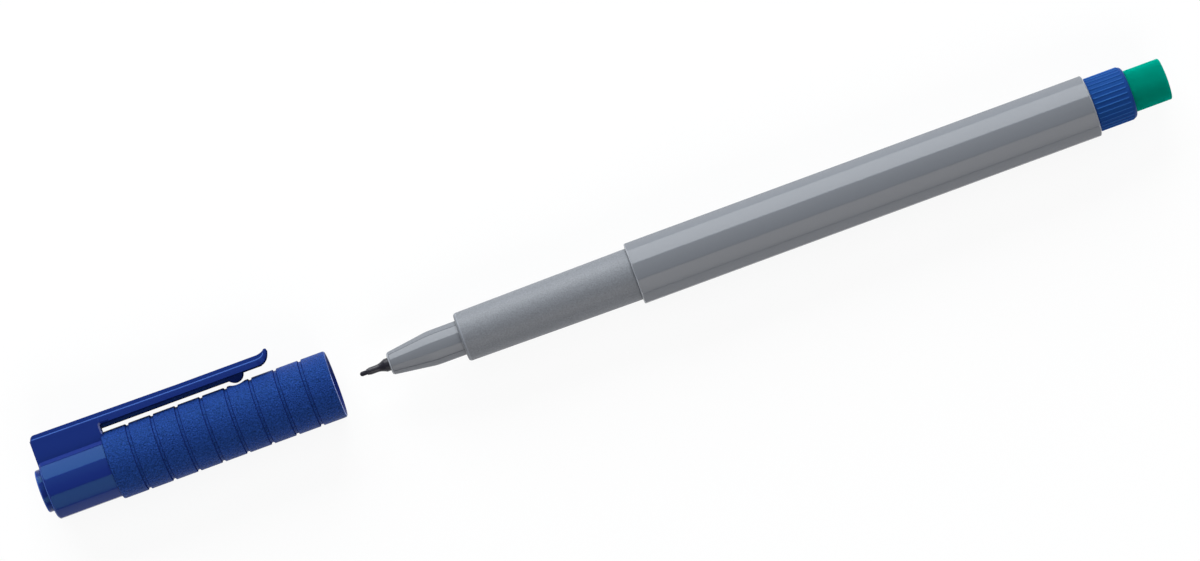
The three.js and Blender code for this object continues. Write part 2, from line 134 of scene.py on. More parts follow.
class MarkerSizes(bpy.types.PropertyGroup):
    """Sizes of the fine shapes, which the frame's boxes don't give"""
    flat_crown: length("Flat crown", "How far the middle of a flat stands out", 0.05)
    flat_corner: length("Corner width", "Width of the rounding on each side of a flat's corner", 0.1)
    nose_front_flats: length("Nose front", "Width across flats of the nose's front face", 3.7)
    nose_flats: length("Nose width", "Width across flats of the nose behind its cone", 5.73)
    nose_cone: length("Nose cone", "Length of the cone on the nose", 7.05)
    core_radius: length("Core radius", "Radius of the core under the grip", 3.32)
    reservoir_bore: length("Reservoir bore", "Radius of the bores round the reservoir", 2.67)
    grip_front_radius: length("Grip front", "Radius of the grip at its front", 4.05)
    grip_bore: length("Grip bore", "Radius of the grip's bore", 3.44)
    grip_edge: length("Grip edge", "Rounding of the grip's front edge", 0.5)
    grip_lip: length("Grip lip", "Length of the grip's narrow front round the nose", 1.0)
    barrel_wall: length("Barrel wall", "Wall of the barrel at its flats", 0.8)
    barrel_edge: length("Barrel edge", "Chamfer at the ends of the barrel", 0.2)
    point_radius: length("Point radius", "Radius of the writing point", 0.38)
    holder_tip_radius: length("Holder tip", "Radius of the holder's thin tip", 0.6)
    holder_tip_length: length("Holder tip length", "Length of the holder's thin tip", 1.75)
    holder_flare: length("Holder flare", "Length of the holder's flare", 1.45)
    holder_shank: length("Holder shank", "Radius of the holder's shank", 1.075)
    holder_flange_length: length("Holder flange", "Length of the flange inside the nose", 0.9)
    collar_length: length("Collar length", "Length of the ribbed collar", 6.4)
    collar_round: length("Collar rounding", "Rounding of the collar's rear edge", 0.7)
    collar_land: length("Collar land", "Plain ring in front of the ribs", 0.1)
    collar_rib: length("Collar rib", "Height of the collar's ribs", 0.17)
    collar_ribs: count("Collar ribs", "Ribs round the collar", 32)
    collar_turn: rotation("Collar turn", "From straight above to the next rib, away from the clip", 2.25)
    eraser_edge: length("Eraser edge", "Rounding of the eraser's end", 0.25)
    eraser_dome: length("Eraser dome", "How far the middle of the eraser's end stands out", 0.2)
    sleeve_length: length("Sleeve length", "Length of the ringed sleeve of the cap", 38.1)
    cap_bore: length("Cap bore", "Radius of the cap's wide bore", 4.52)
    wide_bore_depth: length("Wide bore depth", "Depth of the cap's wide bore", 30.9)
    cap_lip: length("Cap lip", "Rounding of the cap's mouth", 0.4)
    groove_width: length("Groove width", "Width of a groove between two rings", 0.62)
    groove_bottom: length("Groove bottom", "Width of the flat bottom of a groove", 0.4)
    groove_depth: length("Groove depth", "Depth of a groove between two rings", 0.26)
    groove_pitch: length("Groove pitch", "Distance from groove to groove", 4.19)
    first_groove: length("First groove", "Distance from the mouth to the first groove", 4.3)
    grooves: count("Grooves", "Grooves round the sleeve", 8)
    end_flats: length("Closed end", "Width across flats of the cap's closed end", 10.2)
    end_round: length("End rounding", "Rounding of the closed end's edge", 0.8)
    liner_bore: length("Liner bore", "Radius of the liner's bore", 3.12)
    liner_floor: length("Liner floor", "Depth of the liner's floor from the mouth", 48.2)
    button_round: length("Button rounding", "Rounding of the button's edge", 0.25)
    button_dome: length("Button dome", "How far the middle of the button stands over its rim", 0.2)
    clip_crest: length("Clip crest", "Height of the clip's crest over the sleeve", 3.1)
    clip_crown: length("Clip crown", "How far the clip's crest stands over its sides", 0.73)
    clip_fillet: length("Clip fillet", "Width of the fillet between the crest and the sides", 0.24)
    slot_start: length("Slot start", "From the sleeve's end to the slot under the clip", 0.5)
    slot_round: length("Slot rounding", "Rounding of the end of the slot", 0.4)
    slot_rim: length("Slot rim", "Chamfer round the end of the slot", 0.28)
    slot_draft: length("Slot draft", "How much further the slot reaches at its lower rim", 0.3)
    slot_sink: length("Slot sink", "How far the slot reaches below the sleeve's top", 0.15)
    clip_rise: length("Clip rise", "How much higher the clip's crest is at the closed end", 0.3)
    clip_rise_length: length("Clip rise length", "From the closed end to the crest's level part", 25.5)
    clip_thickness: length("Clip thickness", "From the crest to the underside of the arm", 1.8)
    clip_upturn: length("Clip upturn", "Rise of the clip's end over its crest", 0.55)
    clip_upturn_length: length("Upturn length", "Length of the upturned end", 2.3)
    clip_draft: length("Clip draft", "How much shorter the clip's end is on its lower side", 0.25)
    clip_rib_width: length("Clip rib width", "Width of the rib under the arm", 2.8)
    clip_rib_depth: length("Clip rib depth", "Depth of the rib under the arm", 0.62)
    clip_root_round: length("Clip root rounding", "Rounding of the block's top corner", 0.65)
    bump_depth: length("Bump place", "Distance from the mouth to the clip's bump", 14.8)
    bump_radius: length("Bump radius", "Radius of the clip's bump", 1.44)
    dimple_width: length("Hollow width", "Width of the hollow that faces the bump", 2.7)
    dimple_depth: length("Hollow depth", "Depth of the hollow that faces the bump", 0.34)


class MarkerColours(bpy.types.PropertyGroup):
    """Colours of the finishes"""
    cap_blue: colour("Cap blue", "Glossy blue of the cap's end and clip", (0.0085, 0.0205, 0.148))
    sleeve_blue: colour("Sleeve blue", "Satin blue of the ringed sleeve", (0.011, 0.0355, 0.173))
    collar_blue: colour("Collar blue", "Blue of the ribbed collar", (0.0095, 0.044, 0.192))
    blue_gloss_tint: colour("Gloss on blue", "Tint of the gloss on the glossy blue pieces", (0.25, 0.8, 1))
    satin_tint: colour("Sheen on blue", "Tint of the sheen on the satin blue pieces", (0.03, 0.7, 1))
    barrel_grey: colour("Barrel grey", "Grey of the barrel and the nose", (0.147, 0.157, 0.176))
    grip_grey: colour("Grip grey", "Satin grey of the grip", (0.15, 0.16, 0.178))
    nib_black: colour("Nib black", "Black of the nib and its holder", (0.012, 0.0115, 0.019))
    eraser_green: colour("Eraser green", "Blue-green of the eraser", (0.0, 0.205, 0.145))
    ink_blue: colour("Ink blue", "Ink in the fibre of the reservoir", (0.01, 0.03, 0.2))
    film_clear: colour("Clear film", "Film round the fibre of the reservoir", (0.6, 0.63, 0.7))
    # Painted highlight: a lighter grey on the barrel's chamfers and the nose's front edge
    worn_grey: colour("Worn grey", "Edges of the barrel and the nose", (0.29, 0.305, 0.335))
    # Painted shade: dark lines on the roundings between the nose's upper flats
    grey_corner_shade: colour("Corner shade grey", "Lines between the nose's upper flats", (0.085, 0.09, 0.103))
    # Painted highlight: a lighter grey line on the grip's front rounding
    worn_grip: colour("Worn grip", "Lighter grey of the grip's front rounding", (0.195, 0.208, 0.235))
    # Painted highlight: a lighter blue on the closed end's rim, the button's edge and the clip's crest
    # fillets
    worn_blue: colour("Worn blue", "Edges of the cap and the clip", (0.045, 0.1, 0.34))
    # Painted shade: a darker blue inside the cap, where little light reaches
    bore_shade_blue: colour("Bore blue", "Painted shade: dark blue inside the cap", (0.0075, 0.014, 0.13))
    groove_shade: colour("Groove shade", "Dark blue of the walls of the grooves", (0.007, 0.017, 0.11))
    # Painted highlight: a pale blue on the flare round the end of the slot
    slot_highlight_blue: colour("Slot rim blue", "Pale blue of the flare round the slot", (0.1, 0.12, 0.28))
    # Painted highlight: a lighter blue on the crests of the collar's ribs
    collar_crest: colour("Collar crests", "Crests of the collar's ribs", (0.021, 0.084, 0.29))
    # Painted highlights on the mouth's edge: fainter on the clip's side, brighter on the other
    faint_lip_highlight_blue: colour("Faint rim", "The mouth's edge on the clip's side", (0.12, 0.18, 0.44))
    lip_highlight_blue: colour("Rim blue", "The mouth's edge on the other side", (0.33, 0.4, 0.78))
    # Painted shade: a darker blue on the clip's crest, its underside and the walls that face the mouth
    crest_shade_blue: colour("Crest blue", "Blue of the crest of the clip", (0.0055, 0.016, 0.098))
    floor_white: colour("Floor white", "White of the floor", (0.9, 0.9, 0.9))


class MarkerStage(bpy.types.PropertyGroup):
    """The camera and the light"""
    camera_distance: length("Camera distance", "From the pen's axis to the camera", 850)
    pixel_size: length("Pixel size", "Width of one pixel of the picture at the pen's axis", 0.16)
    picture_width: count("Picture width", "Pixels across the picture", 1200)
    aim_x: length("Aim along", "Where the camera looks, from the nib's tip along the pen", 41.23)
    aim_y: length("Aim across", "Where the camera looks, from the pen's axis towards the clip", 0.9)
    lean: rotation("Lean", "How far the camera leans from straight above, away from the clip", 2.4)
    roll: rotation("Roll", "Slope of the pen in the picture", 20.21)
    key_brightness: number("Key", "Brightness of the large panel on the clip's side", 7.6)
    high_brightness: number("High panel", "Brightness of the panel next to the camera", 1.4)
    fill_brightness: number("Fill", "Brightness of the low panel on the other side", 3.8)
    end_brightness: number("Ends", "Brightness beyond the cap, twice that beyond the eraser", 2)
    room_brightness: number("Room", "Brightness of the room all round", 0.1)
    floor_glow: number("Floor glow", "Share of plain white in the floor that the camera sees", 0.9)


def sizes():
    return bpy.context.scene.marker_sizes


def colours():
    return bpy.context.scene.marker_colours


def stage_settings():
    return bpy.context.scene.marker_stage


def sleeve_end():
    """Place of the end of the cap's ringed sleeve, along X."""
    return CAP_MOUTH - sizes().sleeve_length


# Modelling: rings round the pen's axis, extruded from station to station

def work_on(obj):
    """Leaves edit mode and makes obj the one selected object."""
    if bpy.context.mode != "OBJECT":
        bpy.ops.object.mode_set(mode="OBJECT")
    bpy.ops.object.select_all(action="DESELECT")
    if obj:
        obj.select_set(True)
        bpy.context.view_layer.objects.active = obj


def edit(obj, mode="VERT"):
    work_on(obj)
    bpy.ops.object.mode_set(mode="EDIT")
    bpy.ops.mesh.select_mode(type=mode)
    bpy.ops.mesh.select_all(action="DESELECT")


def pick(obj, test, kind="verts"):
    """Selects, in edit mode, the elements whose middle passes the test."""
    shape = bmesh.from_edit_mesh(obj.data)
    bpy.ops.mesh.select_all(action="DESELECT")
    for element in getattr(shape, kind):
        if kind == "verts":
            element.select_set(test(element.co))
        elif kind == "edges":
            element.select_set(test(element.verts[0].co, element.verts[1].co))
        else:
            element.select_set(test(element.calc_center_median(), element.normal))
    shape.select_flush_mode()
    bmesh.update_edit_mesh(obj.data)


def off_axis(point):
    return math.hypot(point.y - AXIS.y, point.z - AXIS.z)


def around(direction):
    """Angle about the pen's axis, from straight above towards the clip."""
    return math.atan2(direction.y, direction.z)


def on_axis(x):
    return (x, AXIS.y, AXIS.z)


def extrude(offset):
    bpy.ops.mesh.extrude_region_move(TRANSFORM_OT_translate={"value": offset})


def widen(factor, x):
    """Scales what is selected about the pen's axis."""
    bpy.ops.transform.resize(value=(1, factor, factor), center_override=on_axis(x))


def settle(name, scale=(1, 1, 1)):
    """Names the primitive that was just added and puts its place and size into its mesh."""
    obj = bpy.context.object
    obj.name = obj.data.name = name
    obj.scale = scale
    bpy.ops.object.transform_apply(location=True, rotation=True, scale=True)
    return obj


def start_ring(name, sides, x, radius, filled):
    """A circle round the pen's axis, as the start of a turned piece."""
    work_on(None)
    bpy.ops.mesh.primitive_circle_add(
        vertices=sides,
        radius=radius,
        fill_type="NGON" if filled else "NOTHING",
        location=on_axis(x),
        rotation=(0, math.pi / 2, 0),
    )
    return settle(name)


def in_steps(start, end, longest=5 * MM):
    """Stations from one (x, radius) to another, no further apart than longest."""
    parts = math.ceil(abs(end[0] - start[0]) / longest)
    return [tuple(a + (b - a) * i / parts for a, b in zip(start, end)) for i in range(parts + 1)]


def extrude_stations(stations):
    """Extrudes what is selected through (x, radius) stations; the first one is where it is now."""
    (x, radius), *rest = stations
    for next_x, next_radius in rest:
        extrude((next_x - x, 0, 0))
        widen(next_radius / radius, next_x)
        x, radius = next_x, next_radius


def tidy_shell():
    """Merges doubles and turns the faces outwards, in edit mode."""
    bpy.ops.mesh.select_all(action="SELECT")
    bpy.ops.mesh.remove_doubles(threshold=SLIGHT / 10)
    bpy.ops.mesh.normals_make_consistent(inside=False)


def turned(name, stations, sides=128, hollow=False):
    """A turned piece: a filled disc extruded along the axis, or a ring that is led back to its start."""
    obj = start_ring(name, sides, *stations[0], filled=not hollow)
    edit(obj)
    bpy.ops.mesh.select_all(action="SELECT")
    extrude_stations(stations)
    if hollow:
        bpy.ops.mesh.select_all(action="DESELECT")
        bpy.ops.mesh.select_mode(type="EDGE")
        bpy.ops.mesh.select_non_manifold(extend=False)
        bpy.ops.mesh.bridge_edge_loops()
    tidy_shell()
    work_on(obj)
    return obj


FLATS = 12
STEPS_PER_FLAT = 16


def flat_profile(step):
    """Radius at a step from a flat's middle, over half the width across flats."""
    half = math.pi / FLATS
    angle = half * abs(step) / (STEPS_PER_FLAT / 2)
    crown = sizes().flat_crown / BARREL_HALF
    bulge = crown * (1 - (math.tan(angle) / math.tan(half)) ** 2)
    return (1 - crown + bulge) / math.cos(angle)


def shape_flats(obj, x):
    """Turns the round ring at x into a twelve-sided one with slightly crowned flats."""
    turn = 2 * math.pi / (FLATS * STEPS_PER_FLAT)
    half = STEPS_PER_FLAT // 2
    for step in range(half + 1):
        def at_step(point):
            from_middle = (round(around(point - AXIS) / turn) + half) % STEPS_PER_FLAT - half
            return abs(point.x - x) < SLIGHT and abs(from_middle) == step
        pick(obj, at_step)
        widen(flat_profile(step), x)


def faceted(name, stations):
    """A prism or a cone with twelve slightly crowned flats, one of them on top."""
    obj = start_ring(name, FLATS * STEPS_PER_FLAT, *stations[0], filled=True)
    edit(obj)
    shape_flats(obj, x=stations[0][0])
    bpy.ops.mesh.select_all(action="SELECT")
    extrude_stations(stations)
    tidy_shell()
    round_edges(obj, sizes().flat_corner, segments=3, degrees=15)
    return obj


def round_edges(obj, width, segments, degrees):
    """Rounds every edge that is sharper than that angle."""
    work_on(obj)
    edges = obj.modifiers.new("Edges", "BEVEL")
    edges.width = width
    edges.segments = segments
    edges.limit_method = "ANGLE"
    edges.angle_limit = math.radians(degrees)
    bpy.ops.object.modifier_apply(modifier=edges.name)


def combine(obj, other, operation):
    """Joins, cuts or intersects obj with other, which is used up."""
    work_on(obj)
    modifier = obj.modifiers.new(operation, "BOOLEAN")
    modifier.operation = operation
    modifier.object = other
    modifier.solver = "EXACT"
    bpy.ops.object.modifier_apply(modifier=modifier.name)
    bpy.data.objects.remove(other)
    edit(obj)
    bpy.ops.mesh.select_all(action="SELECT")
    bpy.ops.mesh.remove_doubles(threshold=SLIGHT / 10)
    work_on(obj)
    return obj


def smooth(obj, degrees=28):
    work_on(obj)
    bpy.ops.object.shade_smooth_by_angle(angle=math.radians(degrees))


def keep_flats(obj, degrees=22):
    """Smooth shading that the large faces decide, so that flats stay flat up to their rounded edges."""
    smooth(obj, degrees)
    weighted = obj.modifiers.new("Flats", "WEIGHTED_NORMAL")
    weighted.keep_sharp = True
    weighted.weight = 80
    bpy.ops.object.modifier_apply(modifier=weighted.name)


def coat_faces(obj, material, test):
    """Gives the faces whose middle and normal pass the test another material."""
    obj.data.materials.append(material)
    index = len(obj.data.materials) - 1
    for face in obj.data.polygons:
        if test(face.center, face.normal):
            face.material_index = index


def leans(normal, low, high):
    """Whether the share of a face's normal that points along the pen lies between two values."""
    return low < normal.x < high


def between_flats(degrees):
    """A test for the faces of the rounding between two flats, at that angle about the axis."""
    reach = 8.5

    def test(place, normal):
        return abs(math.degrees(around(normal)) - degrees) < reach and leans(normal, -0.3, 0.3)
    return test


def quarter(x, radius, size, start, end, steps=5):
    """(x, radius) points of a rounding about a centre, from one angle in degrees to another."""
    points = []
    for i in range(steps + 1):
        angle = math.radians(start + (end - start) * i / steps)
        points.append((x + size * math.cos(angle), radius + size * math.sin(angle)))
    return points


def bore(x_from, x_to, radius, sides=96):
    return turned("bore", in_steps((x_from, radius), (x_to, radius)), sides)


# Shader groups: named effects with their own inputs and outputs

def node_group(name, inputs, outputs):
    tree = bpy.data.node_groups.new(name, "ShaderNodeTree")
    for label, kind, default in inputs:
        socket = tree.interface.new_socket(name=label, in_out="INPUT", socket_type=kind)
        socket.default_value = default
    for label, kind in outputs:
        tree.interface.new_socket(name=label, in_out="OUTPUT", socket_type=kind)
    return tree, tree.nodes.new("NodeGroupInput"), tree.nodes.new("NodeGroupOutput")


def math_node(tree, operation, first, second):
    node = tree.nodes.new("ShaderNodeMath")
    node.operation = operation
    for socket, value in zip(node.inputs, (first, second)):
        if isinstance(value, (int, float)):
            socket.default_value = value
        else:
            tree.links.new(value, socket)
    return node.outputs[0]


def noise_node(tree, scale, detail, vector):
    node = tree.nodes.new("ShaderNodeTexNoise")
    node.inputs["Scale"].default_value = scale
    node.inputs["Detail"].default_value = detail
    tree.links.new(vector, node.inputs["Vector"])
    return node.outputs["Fac"]


def moulded_surface():
    """Uneven tone and sheen, speckle, waves and grain of a moulded plastic."""
    tree, given, result = node_group(
        "Moulded surface",
        [
            ("Base colour", "NodeSocketColor", (0.5, 0.5, 0.5, 1)),
            ("Roughness", "NodeSocketFloat", 0.3),
            ("Roughness spread", "NodeSocketFloat", 0.08),
            ("Tone spread", "NodeSocketFloat", 0.06),
            ("Speckle", "NodeSocketFloat", 0.0),
            ("Wave", "NodeSocketFloat", 0.3),
            ("Grain", "NodeSocketFloat", 0.1),
        ],
        [("Colour", "NodeSocketColor"), ("Roughness", "NodeSocketFloat"), ("Height", "NodeSocketFloat")],
    )
    place = tree.nodes.new("ShaderNodeTexCoord").outputs["Object"]
    stretch = tree.nodes.new("ShaderNodeMapping")
    stretch.inputs["Scale"].default_value = (0.35, 1, 1)
    tree.links.new(place, stretch.inputs["Vector"])
    flow = noise_node(tree, scale=260, detail=4, vector=stretch.outputs["Vector"])
    cloud = noise_node(tree, scale=700, detail=3, vector=place)
    fine = noise_node(tree, scale=9000, detail=2, vector=place)
    mottle = noise_node(tree, scale=4200, detail=1, vector=place)

    def spread(noise, label):
        """The noise about its middle, as wide as that input says."""
        return math_node(tree, "MULTIPLY", math_node(tree, "SUBTRACT", noise, 0.5), given.outputs[label])
    tone, spots = spread(flow, "Tone spread"), spread(mottle, "Speckle")
    bright = math_node(tree, "ADD", math_node(tree, "ADD", tone, spots), 1.0)
    mix = tree.nodes.new("ShaderNodeVectorMath")
    mix.operation = "SCALE"
    tree.links.new(given.outputs["Base colour"], mix.inputs[0])
    tree.links.new(bright, mix.inputs["Scale"])
    tree.links.new(mix.outputs["Vector"], result.inputs["Colour"])
    rough = math_node(tree, "ADD", given.outputs["Roughness"], spread(cloud, "Roughness spread"))
    tree.links.new(rough, result.inputs["Roughness"])
    wave = math_node(tree, "MULTIPLY", flow, given.outputs["Wave"])
    grain = math_node(tree, "MULTIPLY", fine, given.outputs["Grain"])
    depth = math_node(tree, "MULTIPLY", given.outputs["Speckle"], 4.0)
    pits = math_node(tree, "MULTIPLY", mottle, depth)
    relief = math_node(tree, "ADD", math_node(tree, "ADD", wave, grain), pits)
    tree.links.new(relief, result.inputs["Height"])
    return tree


def plastic(
    name, base, roughness, gloss=0.5, tint=(1, 1, 1),
    spread=0.02, tone=0.06, speckle=0.0, wave=0.3, grain=0.1,
):
    """A moulded plastic with its own amounts of what the group above puts on it."""
    material = bpy.data.materials.new(name)
    material.use_nodes = True
    nodes, links = material.node_tree.nodes, material.node_tree.links
    shader = nodes["Principled BSDF"]
    surface = nodes.new("ShaderNodeGroup")
    surface.node_tree = bpy.data.node_groups.get("Moulded surface") or moulded_surface()
    values = (("Base colour", (*base, 1)), ("Roughness", roughness), ("Roughness spread", spread),
              ("Tone spread", tone), ("Speckle", speckle), ("Wave", wave), ("Grain", grain))
    for label, value in values:
        surface.inputs[label].default_value = value
    links.new(surface.outputs["Colour"], shader.inputs["Base Color"])
    links.new(surface.outputs["Roughness"], shader.inputs["Roughness"])
    shader.inputs["Specular IOR Level"].default_value = gloss
    shader.inputs["Specular Tint"].default_value = (*tint, 1)
    relief = nodes.new("ShaderNodeBump")
    relief.inputs["Distance"].default_value = 0.02 * MM
    links.new(surface.outputs["Height"], relief.inputs["Height"])
    links.new(relief.outputs["Normal"], shader.inputs["Normal"])
    return material


def finish_piece(obj, material, slot, body, *nodes):
    """Gives a piece its material and body, and hides the frame's nodes that it stands for; the slot is not
    used.
    """
    obj.data.materials.clear()
    obj.data.materials.append(material)
    if body:
        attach(obj, body)
    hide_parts(*nodes)


# The pieces

class MARKER_OT_nib(bpy.types.Operator):
    """Models the writing point and its black holder"""
    bl_idname = "marker.nib"
    bl_label = "Nib and holder"

    def execute(self, context):
        s = sizes()
        point = s.point_radius
        flare_start = HOLDER_TIP + s.holder_tip_length
        flare_end = flare_start + s.holder_flare
        nib = turned("nib_point", [
            *[(x, max(r, SLIGHT)) for x, r in quarter(NIB_TIP + point, 0, point, 180, 90)],
            (flare_end, point),
            (flare_end + STEM_RADIUS, STEM_RADIUS),
            (STEM_END - STEM_RADIUS, STEM_RADIUS),
            (STEM_END, point),
        ], 48)
        smooth(nib)
        fibre = plastic("Nib fibre", colours().nib_black, roughness=0.7, gloss=0.2, grain=0.6)
        finish_piece(nib, fibre, "nib_fibre", PEN_BODY, "nib")
        growth = s.holder_shank - s.holder_tip_radius
        bend = 1.6  # how slowly the flare starts
        flare = [
            (flare_start + s.holder_flare * share, s.holder_tip_radius + growth * share ** bend)
            for share in (0.15, 0.3, 0.45, 0.6, 0.75, 0.9)
        ]
        flare_lead = 0.12 * MM
        tip_round, tip_lip, tip_drop = 0.6 * MM, 0.1 * MM, 0.07 * MM
        flange_front = HOLDER_REAR - s.holder_flange_length
        holder = turned("black_holder", [
            (HOLDER_TIP, point + SLIGHT),
            (HOLDER_TIP + 0.1 * tip_round, point + tip_lip),
            (HOLDER_TIP + 0.5 * tip_round, s.holder_tip_radius - tip_drop),
            (HOLDER_TIP + tip_round, s.holder_tip_radius),
            (flare_start - flare_lead, s.holder_tip_radius),
            *flare,
            (flare_end, s.holder_shank),
            (flange_front, s.holder_shank),
            (flange_front, HOLDER_FLANGE),
            (HOLDER_REAR, HOLDER_FLANGE),
            (HOLDER_REAR, STEM_RADIUS + FIT),
            (flare_end + STEM_RADIUS, STEM_RADIUS + FIT),
            (flare_end, point + SLIGHT),
        ], 64, hollow=True)
        smooth(holder)
        black = plastic("Black moulding", colours().nib_black, roughness=0.38, gloss=0.35)
        finish_piece(holder, black, "black_plastic", PEN_BODY, "nib_holder")
        return {"FINISHED"}


class MARKER_OT_nose(bpy.types.Operator):
    """Models the faceted nose with its core under the grip and its spigot in the barrel"""
    bl_idname = "marker.nose"
    bl_label = "Nose section"

    def execute(self, context):
        s = sizes()
        front = s.nose_front_flats / 2
        wide = s.nose_flats / 2
        cone_end = NOSE_FRONT + s.nose_cone
        core_front = GRIP_FRONT + s.grip_lip + 0.1 * MM
        overlap = 0.65 * MM
        # The bend from the cone to the flats: mm past the cone's end, and mm under the flats
        bend = ((-0.9, 0.17), (-0.3, 0.075), (0.3, 0.03), (1.2, 0.01))
        nose = faceted("grey_nose", [
            (NOSE_FRONT, front),
            *[(cone_end + past * MM, wide - under * MM) for past, under in bend],
            (core_front + overlap, wide),
        ])
        edge = 0.3 * MM
        combine(nose, turned("front_round", [
            *quarter(NOSE_FRONT + edge, front - SLIGHT - edge, edge, 180, 100, 4),
            (NOSE_FRONT + 2.5 * edge, front + 1.2 * edge),
            (NOSE_FRONT + 5 * edge, wide + edge),
            (core_front + 5 * MM, wide + edge),
        ], 96), "INTERSECT")
        combine(nose, turned("core", [
            (core_front, s.core_radius),
            (BARREL_FRONT, s.core_radius),
            (BARREL_FRONT, SPIGOT_RADIUS),
            (SPIGOT_REAR - LEAD_IN, SPIGOT_RADIUS),
            (SPIGOT_REAR, SPIGOT_RADIUS - LEAD_IN),
        ], 96), "UNION")
        flange_seat = HOLDER_REAR - s.holder_flange_length - END_GAP
        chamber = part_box("ink_reservoir")[0].x - END_GAP
        combine(nose, turned("holder_bore", [
            (NOSE_FRONT - BEYOND, s.holder_shank + FIT),
            (flange_seat, s.holder_shank + FIT),
            (flange_seat, HOLDER_FLANGE + FIT),
            (chamber, HOLDER_FLANGE + FIT),
            (chamber, s.reservoir_bore),
            (SPIGOT_REAR + BEYOND, s.reservoir_bore),
        ], 64), "DIFFERENCE")
        keep_flats(nose)
        grey = plastic("Grey gloss", colours().barrel_grey, roughness=0.26, gloss=0.28)
        finish_piece(nose, grey, "grey_gloss", PEN_BODY, "nose_section")

        # Painted highlight: a lighter grey on the nose's front edge
        highlight_depth = 0.25 * MM

        def on_front_edge(place, normal):
            return place.x < NOSE_FRONT + highlight_depth and leans(normal, -0.85, -0.3)
        edge_highlight = plastic("Worn grey", colours().worn_grey, roughness=0.35, gloss=0.4)
        coat_faces(nose, edge_highlight, on_front_edge)
        # Painted shade: dark lines on the roundings 45 degrees either side of the top
        flat_line_shade = plastic("Grey seam", colours().grey_corner_shade, roughness=0.4, gloss=0.1)
        for degrees in (45, -45):
            coat_faces(nose, flat_line_shade, between_flats(degrees))
        return {"FINISHED"}


class MARKER_OT_grip(bpy.types.Operator):
    """Models the satin grip sleeve"""
    bl_idname = "marker.grip"
    bl_label = "Grip sleeve"

    def execute(self, context):
        s = sizes()
        front, edge = s.grip_front_radius, s.grip_edge
        collar = s.nose_flats / 2 / math.cos(math.pi / FLATS) + FIT
        rear = BARREL_FRONT - SLIGHT
        rear_edge = 0.05 * MM
        run, growth = rear - GRIP_FRONT, GRIP_RADIUS - front
        grip = turned("satin_grip", [
            (GRIP_FRONT, collar),
            *quarter(GRIP_FRONT + edge, front - edge, edge, 180, 90, 7),
            *[(GRIP_FRONT + run * share, front + growth * share) for share in (0.2, 0.4, 0.6, 0.8)],
            *quarter(rear - rear_edge, GRIP_RADIUS - rear_edge, rear_edge, 90, 0, 3),
            (rear, s.grip_bore),
            (GRIP_FRONT + s.grip_lip, s.grip_bore),
            (GRIP_FRONT + s.grip_lip, collar),
        ], hollow=True)
        smooth(grip)
        feel = {"grain": 0.5, "wave": 0.1}
        satin = plastic("Satin grip", colours().grip_grey, roughness=0.5, gloss=0.42, speckle=0.6, **feel)
        finish_piece(grip, satin, "grip_grey", PEN_BODY, "grip_sleeve")

        # Painted highlight: a lighter grey line where the front rounding meets the grip's side
        def on_front_edge(place, normal):
            return place.x < GRIP_FRONT + edge and leans(normal, -0.45, -0.05)
        edge_highlight = plastic("Worn grip", colours().worn_grip, roughness=0.45, gloss=0.35, speckle=0.2, **feel)
        coat_faces(grip, edge_highlight, on_front_edge)
        return {"FINISHED"}


class MARKER_OT_barrel(bpy.types.Operator):
    """Models the twelve-sided barrel"""
    bl_idname = "marker.barrel"
    bl_label = "Barrel"

    def execute(self, context):
        s = sizes()
        corner = BARREL_HALF / math.cos(math.pi / FLATS)
        barrel = faceted("grey_barrel", in_steps((BARREL_FRONT, BARREL_HALF), (BARREL_REAR, BARREL_HALF)))
        run = 1.6 * s.barrel_edge
        low = BARREL_HALF - s.barrel_edge / 2
        step = 0.05 * MM
        combine(barrel, turned("barrel_ends", [
            (BARREL_FRONT, low - 2 * step),
            (BARREL_FRONT + step, low),
            (BARREL_FRONT + run, corner + step),
            (BARREL_REAR - run, corner + step),
            (BARREL_REAR - step, low),
            (BARREL_REAR, low - 2 * step),
        ]), "INTERSECT")
        hole = bore(BARREL_FRONT - BEYOND, BARREL_REAR + BEYOND, BARREL_HALF - s.barrel_wall)
        combine(barrel, hole, "DIFFERENCE")
        keep_flats(barrel)
        finish_piece(barrel, bpy.data.materials["Grey gloss"], "grey_gloss", PEN_BODY, "barrel")

        # Painted highlight: a lighter grey on the barrel's chamfers
        def on_chamfer(place, normal):
            outside = off_axis(place) > BARREL_HALF - s.barrel_edge
            return outside and 0.3 < abs(normal.x) < 0.9
        coat_faces(barrel, bpy.data.materials["Worn grey"], on_chamfer)
        return {"FINISHED"}


